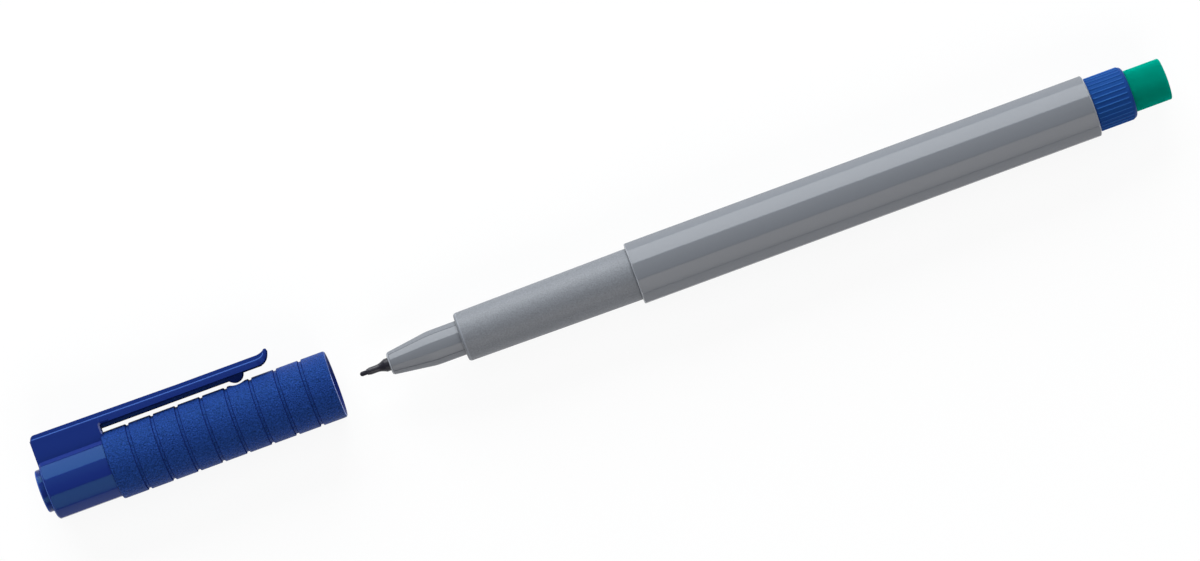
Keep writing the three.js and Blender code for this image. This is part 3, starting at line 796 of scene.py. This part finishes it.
class MARKER_OT_end_plug(bpy.types.Operator):
    """Models the ribbed collar with its spigot and the eraser's cup"""
    bl_idname = "marker.end_plug"
    bl_label = "End plug"

    def execute(self, context):
        s = sizes()
        rib_steps = 10
        sides = s.collar_ribs * rib_steps
        root = COLLAR_RADIUS - s.collar_rib
        collar_front = PLUG_REAR - s.collar_length
        shoulder = s.collar_round
        swell = 0.05 * MM
        rib_from = collar_front + s.collar_land
        rib_to = PLUG_REAR - shoulder - swell
        cup = ERASER_RADIUS + FIT
        cup_floor = ERASER_FRONT - END_GAP
        air_hole = 0.5 * MM
        plug = turned("ribbed_plug", [
            (PLUG_FRONT, s.reservoir_bore),
            (PLUG_FRONT, SPIGOT_RADIUS - LEAD_IN),
            (PLUG_FRONT + LEAD_IN, SPIGOT_RADIUS),
            (collar_front, SPIGOT_RADIUS),
            (collar_front, root),
            (rib_from, root),
            (rib_from + 2 * swell, root),
            (rib_to, root),
            *quarter(PLUG_REAR - shoulder, root + swell - shoulder, shoulder, 80, 0, 6),
            (PLUG_REAR, cup),
            (cup_floor, cup),
            (cup_floor, air_hole),
            (collar_front, air_hole),
            (collar_front, s.reservoir_bore),
        ], sides, hollow=True)
        edit(plug)
        turn = 2 * math.pi / sides
        for step, share in ((0, 1.0), (1, 0.6)):
            def on_crest(point):
                index = round((around(point - AXIS) + s.collar_turn) / turn) % rib_steps
                on_step = min(index, rib_steps - index) == step
                along = rib_from + SLIGHT < point.x < rib_to + SLIGHT
                return along and off_axis(point) > root - SLIGHT and on_step
            pick(plug, on_crest)
            widen(1 + share * s.collar_rib / root, collar_front)
        smooth(plug, 40)
        feel = {"roughness": 0.36, "gloss": 0.04, "tint": colours().satin_tint, "grain": 0.3}
        blue = plastic("Collar blue", colours().collar_blue, **feel)
        finish_piece(plug, blue, "blue_satin", PEN_BODY, "end_plug")

        # Painted highlight: the rib crests get a lighter blue
        def on_top(place, normal):
            along = rib_from < place.x < rib_to
            return along and off_axis(place) > root + 0.7 * s.collar_rib and leans(normal, -0.1, 0.1)
        coat_faces(plug, plastic("Collar crests", colours().collar_crest, **feel), on_top)
        return {"FINISHED"}


class MARKER_OT_eraser(bpy.types.Operator):
    """Models the eraser"""
    bl_idname = "marker.eraser"
    bl_label = "Eraser"

    def execute(self, context):
        s = sizes()
        edge, dome = s.eraser_edge, s.eraser_dome
        rim = ERASER_REAR - dome
        front_edge = 0.1 * MM
        eraser = turned("green_eraser", [
            (ERASER_FRONT, ERASER_RADIUS - front_edge),
            (ERASER_FRONT + front_edge, ERASER_RADIUS),
            (PLUG_REAR, ERASER_RADIUS),
            (PLUG_REAR + 0.4 * (ERASER_REAR - PLUG_REAR), ERASER_RADIUS),
            *quarter(rim - edge, ERASER_RADIUS - edge, edge, 90, 10, 6),
            *[(rim + dome * (1 - share ** 2), ERASER_RADIUS * share) for share in (0.75, 0.6, 0.4, 0.2)],
            (ERASER_REAR, ERASER_RADIUS * 0.05),
        ])
        smooth(eraser)
        green = plastic(
            "Eraser green", colours().eraser_green, roughness=0.62, gloss=0.0,
            tone=0.12, grain=1.0, wave=0.6,
        )
        rubber = green.node_tree.nodes["Principled BSDF"]
        rubber.inputs["Diffuse Roughness"].default_value = 1
        rubber.inputs["Subsurface Weight"].default_value = 0.4
        rubber.inputs["Subsurface Radius"].default_value = (1, 1, 1)
        rubber.inputs["Subsurface Scale"].default_value = 6 * MM
        finish_piece(eraser, green, "eraser_green", PEN_BODY, "eraser")
        return {"FINISHED"}


class MARKER_OT_reservoir(bpy.types.Operator):
    """Finishes the fibre of the reservoir and its film, which the barrel hides"""
    bl_idname = "marker.reservoir"
    bl_label = "Reservoir"

    def execute(self, context):
        ink_and_shade = plastic("Inked fibre", colours().ink_blue, roughness=0.9, tone=0.5, grain=1.0)
        film = plastic("Clear film", colours().film_clear, roughness=0.2)
        film.node_tree.nodes["Principled BSDF"].inputs["Transmission Weight"].default_value = 0.6
        for name, material in (("ink_reservoir", ink_and_shade), ("reservoir_film", film)):
            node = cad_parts[name]
            for slot in node.material_slots:
                slot.material = material
        return {"FINISHED"}


class MARKER_OT_cap_sleeve(bpy.types.Operator):
    """Models the ringed satin sleeve of the cap"""
    bl_idname = "marker.cap_sleeve"
    bl_label = "Cap sleeve"

    def execute(self, context):
        s = sizes()
        sleeve = turned("ringed_sleeve", self.stations(s), 128, hollow=True)
        self.hollow(sleeve, s)
        smooth(sleeve, 30)
        satin = plastic(
            "Satin blue", colours().sleeve_blue, roughness=0.45, gloss=0.06, tint=colours().satin_tint,
            spread=0.08, tone=0.12, speckle=2.1, grain=0.6, wave=0.4,
        )
        finish_piece(sleeve, satin, "blue_satin", CAP_BODY, "cap_shell")
        self.coat(sleeve, s)
        return {"FINISHED"}

    def stations(self, s):
        lip = s.cap_lip
        end = sleeve_end()
        stations = [(CAP_MOUTH, CAP_RADIUS - lip - 0.08 * MM)]
        stations += quarter(CAP_MOUTH - lip, CAP_RADIUS - lip, lip, 0, 90, 6)
        half = s.groove_width / 2
        # Half of a groove, from its edge to its bottom: distance from its middle, and depth
        wall = (
            (half + 0.05 * MM, 0),
            (half + 0.015 * MM, 0.012 * MM),
            (half - 0.01 * MM, 0.04 * MM),
            (s.groove_bottom / 2, s.groove_depth),
        )
        for i in range(s.grooves):
            x = CAP_MOUTH - s.first_groove - i * s.groove_pitch
            stations += [(x + out, CAP_RADIUS - down) for out, down in wall]
            stations += [(x - out, CAP_RADIUS - down) for out, down in reversed(wall)]
        rear_edge = 0.3 * MM
        stations += quarter(end + rear_edge, CAP_RADIUS - rear_edge, rear_edge, 90, 180, 5)
        narrow = LINER_RADIUS + FIT
        bore_cone = 0.8 * MM
        mouth_cone = 0.6 * MM
        stations += [
            (end, narrow),
            (CAP_MOUTH - s.wide_bore_depth - bore_cone, narrow),
            (CAP_MOUTH - s.wide_bore_depth, s.cap_bore),
            (CAP_MOUTH - mouth_cone, s.cap_bore),
        ]
        return stations

    def hollow(self, sleeve, s):
        """Cuts the shallow hollow that faces the clip's bump."""
        width, depth = s.dimple_width / 2, s.dimple_depth
        radius = (width * width + depth * depth) / (2 * depth)
        work_on(None)
        bpy.ops.mesh.primitive_cylinder_add(
            vertices=96,
            radius=radius,
            depth=2 * CLIP_HALF,
            location=(CAP_MOUTH - s.bump_depth, SLEEVE_TOP - depth + radius, AXIS.z),
        )
        combine(sleeve, bpy.context.object, "DIFFERENCE")

    def coat(self, sleeve, s):
        """Paints shade on the groove walls and in the bore, and a painted highlight on the mouth's edge,
        brighter away from the clip.
        """
        end = sleeve_end()
        bore_limit = (s.cap_bore + CAP_RADIUS - s.cap_lip) / 2
        towards_clip = AXIS.y + 0.25 * CAP_RADIUS

        def in_groove(place, normal):
            steep = not leans(normal, -0.7, 0.7)
            return steep and end + MM < place.x < CAP_MOUTH - MM and off_axis(place) > bore_limit

        def in_bore(place, normal):
            return off_axis(place) < bore_limit and place.x > end + MM

        def on_lip(place, normal):
            outside = place.x > CAP_MOUTH - s.cap_lip and off_axis(place) > bore_limit
            return outside and leans(normal, 0.7, 0.85)

        def on_lower_lip(place, normal):
            return on_lip(place, normal) and place.y < towards_clip

        def on_upper_lip(place, normal):
            return on_lip(place, normal) and place.y >= towards_clip
        shade = plastic("Groove shade", colours().groove_shade, roughness=0.6, gloss=0.0)
        coat_faces(sleeve, shade, in_groove)
        sheen = colours().satin_tint
        # Painted shade: a darker blue in the bore
        ink_and_shade = plastic("Inked bore", colours().bore_shade_blue, roughness=0.4, gloss=0.1, tint=sheen, tone=0.4)
        coat_faces(sleeve, ink_and_shade, in_bore)
        # Painted highlight: a light blue on the mouth's edge, fainter on the clip's side
        edge_highlight = plastic("Worn lip", colours().lip_highlight_blue, roughness=0.4, gloss=0.1)
        coat_faces(sleeve, edge_highlight, on_lower_lip)
        faint_highlight = plastic("Faint lip", colours().faint_lip_highlight_blue, roughness=0.4, gloss=0.0)
        coat_faces(sleeve, faint_highlight, on_upper_lip)


class MARKER_OT_cap_end(bpy.types.Operator):
    """Models the glossy twelve-sided closed end of the cap"""
    bl_idname = "marker.cap_end"
    bl_label = "Cap end"

    def execute(self, context):
        s = sizes()
        half = s.end_flats / 2
        corner = half / math.cos(math.pi / FLATS)
        right = sleeve_end()
        rounding = s.end_round
        end = faceted("faceted_end", [(CAP_END, half), (right, half)])
        combine(end, turned("end_round", [
            *quarter(CAP_END + rounding, corner - rounding, rounding, 180, 90, 6),
            (right + BEYOND, corner + SLIGHT / 2),
        ]), "INTERSECT")
        combine(end, bore(CAP_END - BEYOND, right + BEYOND, LINER_RADIUS + FIT), "DIFFERENCE")
        keep_flats(end)
        tint = colours().blue_gloss_tint
        gloss = plastic("Blue gloss", colours().cap_blue, roughness=0.2, gloss=0.135, tint=tint)
        finish_piece(end, gloss, "blue_gloss", CAP_BODY, "cap_shell")

        def on_rim(place, normal):
            return place.x < CAP_END + rounding and leans(normal, -0.85, -0.75)

        def on_face(place, normal):
            return place.x < CAP_END + rounding and normal.x < -0.85
        # Painted highlight: a lighter blue on the rim of the closed end
        coat_faces(end, plastic("Worn blue", colours().worn_blue, roughness=0.5, gloss=0.0), on_rim)
        # Painted shade: the corners at 45 degrees and the end face round the button get the dark groove
        # blue
        shade = bpy.data.materials["Groove shade"]
        coat_faces(end, shade, between_flats(45))
        coat_faces(end, shade, on_face)
        return {"FINISHED"}


class MARKER_OT_inner_cap(bpy.types.Operator):
    """Models the inner cap, whose end shows as a round button"""
    bl_idname = "marker.inner_cap"
    bl_label = "Inner cap"

    def execute(self, context):
        s = sizes()
        floor = CAP_MOUTH - s.liner_floor
        rounding, dome = s.button_round, s.button_dome
        face = LINER_RADIUS - rounding
        mouth_cone = 0.25 * MM
        liner = turned("button_liner", [
            *[(BUTTON_END + dome * share ** 2, face * share) for share in (0.1, 0.3, 0.5, 0.7, 0.87)],
            *quarter(BUTTON_END + dome + rounding, face, rounding, 165, 90, 6),
            (LINER_MOUTH, LINER_RADIUS),
            (LINER_MOUTH, s.liner_bore + mouth_cone),
            (LINER_MOUTH - mouth_cone, s.liner_bore),
            (floor, s.liner_bore),
            (floor, s.liner_bore * 0.1),
        ])
        smooth(liner)
        finish_piece(liner, bpy.data.materials["Blue gloss"], "blue_gloss", CAP_BODY, "inner_cap")

        # Painted highlight: a lighter blue on the button's edge
        def on_button_edge(place, normal):
            return place.x < CAP_END and leans(normal, -0.9, -0.2)
        coat_faces(liner, bpy.data.materials["Worn blue"], on_button_edge)
        return {"FINISHED"}


def near(point, place, reach=SLIGHT / 4):
    """Whether a point of a mesh lies at that (x, y) place in the side view."""
    return (point.xy - Vector(place)).length < reach


def slab(name, stations, half_width, layers):
    """A side view led from station to station by its lower and upper (x, y) point, then given a width."""
    (low, high), (next_low, next_high), *rest = stations
    work_on(None)
    centre = Vector(((low[0] + next_low[0]) / 2, (low[1] + high[1]) / 2, AXIS.z - half_width))
    bpy.ops.mesh.primitive_plane_add(size=1, location=centre)
    obj = settle(name, scale=(abs(next_low[0] - low[0]), high[1] - low[1], 1))
    edit(obj)
    now_low, now_high = Vector(next_low), Vector(next_high)
    pick(obj, lambda point: abs(point.x - now_low.x) < SLIGHT / 4)
    for low, high in rest:
        by_low, by_high = Vector(low) - now_low, Vector(high) - now_high
        bpy.ops.mesh.extrude_edges_move(TRANSFORM_OT_translate={"value": (*by_low, 0)})
        shape = bmesh.from_edit_mesh(obj.data)
        ends = [vertex for vertex in shape.verts if vertex.select]
        lower = min(ends, key=lambda vertex: (vertex.co.xy - Vector(low)).length)
        lower.select_set(False)
        bmesh.update_edit_mesh(obj.data)
        bpy.ops.transform.translate(value=(*(by_high - by_low), 0))
        pick(obj, lambda point: near(point, low) or near(point, high))
        now_low, now_high = Vector(low), Vector(high)
    bpy.ops.mesh.select_all(action="SELECT")
    for _ in range(layers):
        extrude((0, 0, 2 * half_width / layers))
    tidy_shell()
    work_on(obj)
    return obj


def curve_point(share, start, control, end):
    """Point of a quadratic curve."""
    rest = 1 - share
    return tuple(
        rest ** 2 * a + 2 * share * rest * b + share * share * c for a, b, c in zip(start, control, end)
    )


class MARKER_OT_clip(bpy.types.Operator):
    """Models the clip: its block, the crowned arm, the rib, the bump and the upturned end"""
    bl_idname = "marker.clip"
    bl_label = "Clip"

    layers = 12  # steps across the clip
    upturn_steps = 10
    end_angles = (25, 50, 70, 84)  # steps round the clip's end, in degrees

    def levels(self, s):
        """Places of the crest and of the arm's underside, along Y."""
        crest = SLEEVE_TOP + s.clip_crest
        return crest, crest - s.clip_thickness

    def slot_end(self, s):
        """Place of the closed end of the slot between the arm and the sleeve, along X."""
        return sleeve_end() + s.slot_start

    def stations(self, s):
        """Lower and upper (x, y) points of the side view, from the closed end to the clip's end."""
        crest, underside = self.levels(s)
        foot = AXIS.y + LINER_RADIUS + 0.3 * MM  # just over the liner
        ledge = SLEEVE_TOP - 0.05 * MM  # just under the top of the sleeve
        start = self.slot_end(s)
        arm = start + s.slot_round
        bend = ARM_TIP - s.clip_upturn_length
        stations = [
            ((CAP_END, foot), (CAP_END, crest)),
            ((start, foot), (start, crest)),
            ((start + 0.1 * SLIGHT, ledge), (start + 2 * SLIGHT, crest)),
            ((arm, ledge), (arm, crest)),
        ]
        for share in (0, 0.1, 0.3, 0.5, 0.7, 0.85, 1):
            x = arm + SLIGHT + (bend - arm - SLIGHT) * share
            stations.append(((x, underside), (x, crest)))
        chord = Vector((-0.5, 0.45)) * MM  # across the clip's end
        inset = Vector((-0.34, -0.268)) * MM  # from the end's outermost corner to the chord's middle
        end = Vector((ARM_TIP, crest + s.clip_upturn)) + inset
        low_bend, high_bend = ARM_TIP - s.clip_upturn, ARM_TIP - 0.45 * s.clip_upturn_length
        for i in range(1, self.upturn_steps + 1):
            share = i / self.upturn_steps
            low = curve_point(share, (bend, underside), (low_bend, underside), end - chord / 2)
            high = curve_point(share, (bend, crest), (high_bend, crest), end + chord / 2)
            stations.append((low, high))
        outwards = Vector((chord.y, -chord.x)) * 0.3
        for angle in self.end_angles:
            turn = math.radians(angle)
            place = end + outwards * math.sin(turn)
            half = chord / 2 * math.cos(turn)
            stations.append((place - half, place + half))
        return stations

    def crown(self, arm, stations, s):
        """Lowers the top surface towards both sides and rounds the edges that this makes there."""
        edit(arm)
        bent = self.upturn_steps + len(self.end_angles)
        thinning = 0.9  # how fast the crown shrinks as the end grows thinner
        groups = [([high for _, high in stations[:-bent]], s.clip_crown)]
        for low, high in stations[-bent:]:
            thickness = (Vector(high) - Vector(low)).length
            groups.append(([high], s.clip_crown * (thickness / s.clip_thickness) ** thinning))
        for k in range(self.layers + 1):
            across = 2 * k / self.layers - 1
            z = AXIS.z + across * CLIP_HALF
            for highs, rise in groups:
                def on_top(point):
                    return abs(point.z - z) < SLIGHT and any(near(point, high) for high in highs)
                pick(arm, on_top)
                bpy.ops.transform.translate(value=(0, -rise * across * across, 0))

        rounded = groups[:-len(self.end_angles) - 2]
        places_of_side = [Vector(high) - Vector((0, rise)) for highs, rise in rounded for high in highs]

        def at_side(point):
            outside = abs(abs(point.z - AXIS.z) - CLIP_HALF) < SLIGHT
            return outside and any(near(point, place) for place in places_of_side)
        edit(arm, "EDGE")
        pick(arm, lambda a, b: at_side(a) and at_side(b) and abs(a.z - b.z) < SLIGHT, "edges")
        bpy.ops.mesh.bevel(offset=s.clip_fillet, segments=5, affect="EDGES", clamp_overlap=True)
        work_on(arm)

    def rise(self, arm, stations, s):
        """Raises the crest, with the edges at its sides, towards the closed end."""
        level_from = CAP_END + s.clip_rise_length
        _, underside = self.levels(s)
        edit(arm)
        for x in (high[0] for _, high in stations if high[0] < level_from):
            pick(arm, lambda point: abs(point.x - x) < SLIGHT / 4 and point.y > underside + SLIGHT)
            share = (level_from - x) / s.clip_rise_length
            bpy.ops.transform.translate(value=(0, s.clip_rise * share, 0))
        work_on(arm)

    def draft(self, arm, s):
        """Shortens the upturned end towards its lower side."""
        bent_from = ARM_TIP - s.clip_upturn_length + 0.6 * MM
        reach = CLIP_HALF / self.layers
        edit(arm)
        for k in range(self.layers):
            share = 1 - k / self.layers
            z = AXIS.z + (2 * k / self.layers - 1) * CLIP_HALF
            pick(arm, lambda point: point.x > bent_from and abs(point.z - z) < reach)
            bpy.ops.transform.translate(value=(-s.clip_draft * share, 0, 0))
        work_on(arm)

    def round_block(self, arm, s):
        """Rounds the block's top edge at the closed end."""
        crest, _ = self.levels(s)

        def top_corner(a, b):
            near_end = abs(a.x - CAP_END) < SLIGHT and abs(b.x - CAP_END) < SLIGHT
            return near_end and min(a.y, b.y) > crest - 1.2 * s.clip_crown and abs(a.z - b.z) > SLIGHT
        edit(arm, "EDGE")
        pick(arm, top_corner, "edges")
        bpy.ops.mesh.bevel(offset=s.clip_root_round, segments=6, affect="EDGES", clamp_overlap=False)
        work_on(arm)

    def slot(self, arm, s):
        """Cuts the round end of the slot between the arm and the sleeve, with a flare at both rims."""
        start = self.slot_end(s)
        low = SLEEVE_TOP - s.slot_sink
        _, high = self.levels(s)
        run = s.slot_round + BEYOND
        rim = s.slot_rim
        inner = CLIP_HALF - rim
        centre = Vector((start + run / 2, (low + high) / 2, AXIS.z))
        work_on(None)
        bpy.ops.mesh.primitive_cube_add(size=1, location=centre)
        cutter = settle("slot_end", scale=(run, high - low, 2 * inner))
        edit(cutter, "EDGE")
        pick(cutter, lambda a, b: max(a.x, b.x) < start + SLIGHT and abs(a.z - b.z) > SLIGHT, "edges")
        bpy.ops.mesh.bevel(offset=s.slot_round, segments=8, affect="EDGES", clamp_overlap=True)
        flare = (1 + 2 * rim / run, 1 + 2 * rim / (high - low), 1)
        edit(cutter, "VERT")
        pick(cutter, lambda point: point.z < AXIS.z and point.x < start + s.slot_round + SLIGHT)
        bpy.ops.transform.translate(value=(-s.slot_draft, 0, 0))
        for side in (-1, 1):
            edit(cutter, "FACE")
            pick(cutter, lambda place, normal: side * (place.z - AXIS.z) > inner - SLIGHT, "faces")
            extrude((0, 0, side * rim))
            bpy.ops.transform.resize(value=flare, center_override=(*centre.xy, AXIS.z + side * CLIP_HALF))
            extrude((0, 0, side * BEYOND))
        combine(arm, cutter, "DIFFERENCE")

    def rib(self, s):
        """Makes the rib under the arm, with the round bump at its end."""
        _, underside = self.levels(s)
        low_y, high_y = underside - s.clip_rib_depth, underside + s.clip_rib_depth
        clearance = 0.07 * MM
        bump_x = CAP_MOUTH - s.bump_depth
        bump_y = SLEEVE_TOP + clearance + s.bump_radius
        left = sleeve_end() - 0.5 * MM
        stations = [((left, low_y), (left, high_y))]
        steps = 20
        first, last = 180 - math.degrees(math.asin((low_y - bump_y) / s.bump_radius)), 355
        for i in range(steps + 1):
            angle = math.radians(first + (last - first) * i / steps)
            low = (bump_x + s.bump_radius * math.cos(angle), bump_y + s.bump_radius * math.sin(angle))
            stations.append((low, (low[0], high_y)))
        return slab("clip_rib", stations, s.clip_rib_width / 2, 1)

    def coat(self, arm, s):
        """Gives the crest, the underside and the walls that face the mouth a darker matte blue as painted
        shade, and paints highlights on the crest's fillets and round the end of the slot.
        """
        crest, underside = self.levels(s)
        start = self.slot_end(s)

        def on_crest(place, normal):
            return normal.y > 0.6 and place.y > crest - 1.2 * s.clip_crown

        def on_edge(place, normal):
            side = abs(place.z - AXIS.z) > CLIP_HALF - s.clip_fillet
            return side and place.y > crest - s.clip_crown - s.clip_fillet and 0.25 < normal.y < 0.6

        def at_slot(place, normal):
            along = start - 1.5 * s.slot_rim < place.x < start + s.slot_round
            side = CLIP_HALF - s.slot_rim < abs(place.z - AXIS.z) and 0.4 < abs(normal.z) < 0.95
            return along and side and normal.x > 0.2 and place.y < underside + s.slot_rim

        def on_shaded_wall(place, normal):
            return (normal.x > 0.25 or normal.y < -0.5) and abs(normal.z) < 0.4
        # Painted shade: the crest, the underside and the walls that face the mouth get a darker matte blue
        satin = plastic("Clip crest", colours().crest_shade_blue, roughness=0.5, gloss=0.0)
        coat_faces(arm, satin, on_crest)
        coat_faces(arm, satin, on_shaded_wall)
        # Painted highlight: a lighter blue on the fillets beside the crest
        coat_faces(arm, bpy.data.materials["Worn blue"], on_edge)
        # Painted highlight: a pale blue on the flare round the end of the slot
        coat_faces(arm, plastic("Slot rim", colours().slot_highlight_blue, roughness=0.4, gloss=0.1), at_slot)

    def execute(self, context):
        s = sizes()
        stations = self.stations(s)
        arm = slab("clip_moulding", stations, CLIP_HALF, self.layers)
        self.crown(arm, stations, s)
        self.rise(arm, stations, s)
        self.draft(arm, s)
        self.round_block(arm, s)
        self.slot(arm, s)
        arm_edge, rib_edge = 0.12 * MM, 0.1 * MM
        round_edges(arm, arm_edge, segments=3, degrees=40)
        rib = self.rib(s)
        round_edges(rib, rib_edge, segments=2, degrees=40)
        combine(arm, rib, "UNION")
        keep_flats(arm, 35)
        finish_piece(arm, bpy.data.materials["Blue gloss"], "blue_gloss", None, "clip_arm")
        self.coat(arm, s)
        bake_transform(arm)
        return {"FINISHED"}


# The stage

class MARKER_OT_stage(bpy.types.Operator):
    """Sets the camera, the white floor and the soft light"""
    bl_idname = "marker.stage"
    bl_label = "Stage"

    def camera(self, settings):
        data = bpy.data.cameras.new("Camera")
        camera = bpy.data.objects.new("Camera", data)
        bpy.context.scene.collection.objects.link(camera)
        data.sensor_width = 36
        seen_width = settings.pixel_size * settings.picture_width
        data.lens = data.sensor_width * settings.camera_distance / seen_width
        data.clip_start, data.clip_end = 0.05, 50
        lean = Euler((settings.lean, 0, 0)).to_matrix()
        aim = Vector((NIB_TIP + settings.aim_x, AXIS.y + settings.aim_y, AXIS.z))
        camera.location = aim + lean @ Vector((0, 0, settings.camera_distance))
        camera.rotation_euler = (lean @ Euler((0, 0, -settings.roll)).to_matrix()).to_euler()
        bpy.context.scene.camera = camera

    def floor(self):
        work_on(None)
        bpy.ops.mesh.primitive_plane_add(size=60, location=(0, 0, 0))
        floor = bpy.context.object
        floor.name = "floor"
        material = bpy.data.materials.new("Floor")
        material.use_nodes = True
        tree = material.node_tree
        nodes, links = tree.nodes, tree.links
        shader = nodes["Principled BSDF"]
        shader.inputs["Base Color"].default_value = (*colours().floor_white, 1)
        shader.inputs["Roughness"].default_value = 0.9
        shader.inputs["Specular IOR Level"].default_value = 0
        white = nodes.new("ShaderNodeEmission")
        mix = nodes.new("ShaderNodeMixShader")
        ray = nodes.new("ShaderNodeLightPath").outputs
        seen = math_node(tree, "MAXIMUM", ray["Is Camera Ray"], ray["Is Glossy Ray"])
        seen = math_node(tree, "MAXIMUM", seen, ray["Is Transmission Ray"])
        glow = math_node(tree, "MULTIPLY", seen, stage_settings().floor_glow)
        links.new(glow, mix.inputs["Fac"])
        links.new(shader.outputs["BSDF"], mix.inputs[1])
        links.new(white.outputs["Emission"], mix.inputs[2])
        links.new(mix.outputs["Shader"], nodes["Material Output"].inputs["Surface"])
        floor.data.materials.append(material)

    def room(self, brightness):
        world = bpy.data.worlds.new("World")
        bpy.context.scene.world = world
        world.use_nodes = True
        light = world.node_tree.nodes["Background"]
        light.inputs["Color"].default_value = (0.95, 0.97, 1, 1)
        light.inputs["Strength"].default_value = brightness

    def panel(self, name, towards, high, low, distance, span, brightness, tone=(0.95, 0.98, 1)):
        """A soft panel on one side, between two angles in degrees from straight above."""
        angle = math.radians((high + low) / 2)
        width = 2 * distance * math.tan(math.radians(abs(low - high) / 2))
        data = bpy.data.lights.new(name, "AREA")
        data.shape = "RECTANGLE"
        data.size, data.size_y = span, width
        data.energy = brightness * math.pi * span * width
        data.color = tone
        panel = bpy.data.objects.new(name, data)
        bpy.context.scene.collection.objects.link(panel)
        place = Vector((towards[0] * math.sin(angle), towards[1] * math.sin(angle), math.cos(angle)))
        panel.location = AXIS + place * distance
        panel.rotation_euler = place.to_track_quat("Z", "Y").to_euler()
        panel.visible_camera = False

    def execute(self, context):
        settings = stage_settings()
        self.camera(settings)
        self.floor()
        self.room(settings.room_brightness)
        clip_side, other_side, cap_end, eraser_end = (0, 1), (0, -1), (-1, 0), (1, 0)
        self.panel(
            "Key panel", clip_side, high=47, low=88, distance=1.6, span=1.6,
            brightness=settings.key_brightness,
        )
        self.panel(
            "High panel", clip_side, high=4, low=33, distance=1.7, span=1.5,
            brightness=settings.high_brightness,
        )
        self.panel(
            "Fill panel", other_side, high=38, low=66, distance=1.7, span=1.5,
            brightness=settings.fill_brightness, tone=(1, 0.98, 0.97),
        )
        for name, side, share in (("Front panel", cap_end, 1), ("Rear panel", eraser_end, 0.5)):
            self.panel(
                name, side, high=60, low=80, distance=1.7, span=1.2,
                brightness=settings.end_brightness * share,
            )
        context.scene.view_settings.view_transform = "Standard"
        return {"FINISHED"}


class MARKER_PT_panel(bpy.types.Panel):
    """Lists the marker's pieces and their sizes"""
    bl_idname = "MARKER_PT_panel"
    bl_label = "Marker"
    bl_space_type = "VIEW_3D"
    bl_region_type = "UI"
    bl_category = "Marker"

    def draw(self, context):
        for step in STEPS:
            self.layout.operator(step.bl_idname, text=step.bl_label)
        for group in (sizes(), colours(), stage_settings()):
            column = self.layout.column(align=True)
            for name in group.bl_rna.properties.keys():
                if name not in ("rna_type", "name"):
                    column.prop(group, name)


STEPS = (
    MARKER_OT_stage,
    MARKER_OT_nib,
    MARKER_OT_nose,
    MARKER_OT_grip,
    MARKER_OT_barrel,
    MARKER_OT_end_plug,
    MARKER_OT_eraser,
    MARKER_OT_reservoir,
    MARKER_OT_cap_sleeve,
    MARKER_OT_cap_end,
    MARKER_OT_inner_cap,
    MARKER_OT_clip,
)
CLASSES = (MarkerSizes, MarkerColours, MarkerStage, *STEPS, MARKER_PT_panel)


def register():
    for item in CLASSES:
        bpy.utils.register_class(item)
    bpy.types.Scene.marker_sizes = PointerProperty(type=MarkerSizes)
    bpy.types.Scene.marker_colours = PointerProperty(type=MarkerColours)
    bpy.types.Scene.marker_stage = PointerProperty(type=MarkerStage)


def unregister():
    del bpy.types.Scene.marker_stage, bpy.types.Scene.marker_colours, bpy.types.Scene.marker_sizes
    for item in reversed(CLASSES):
        bpy.utils.unregister_class(item)


def main():
    register()
    for step in STEPS:
        group, name = step.bl_idname.split(".")
        getattr(getattr(bpy.ops, group), name)()


if __name__ == "__main__":
    main()
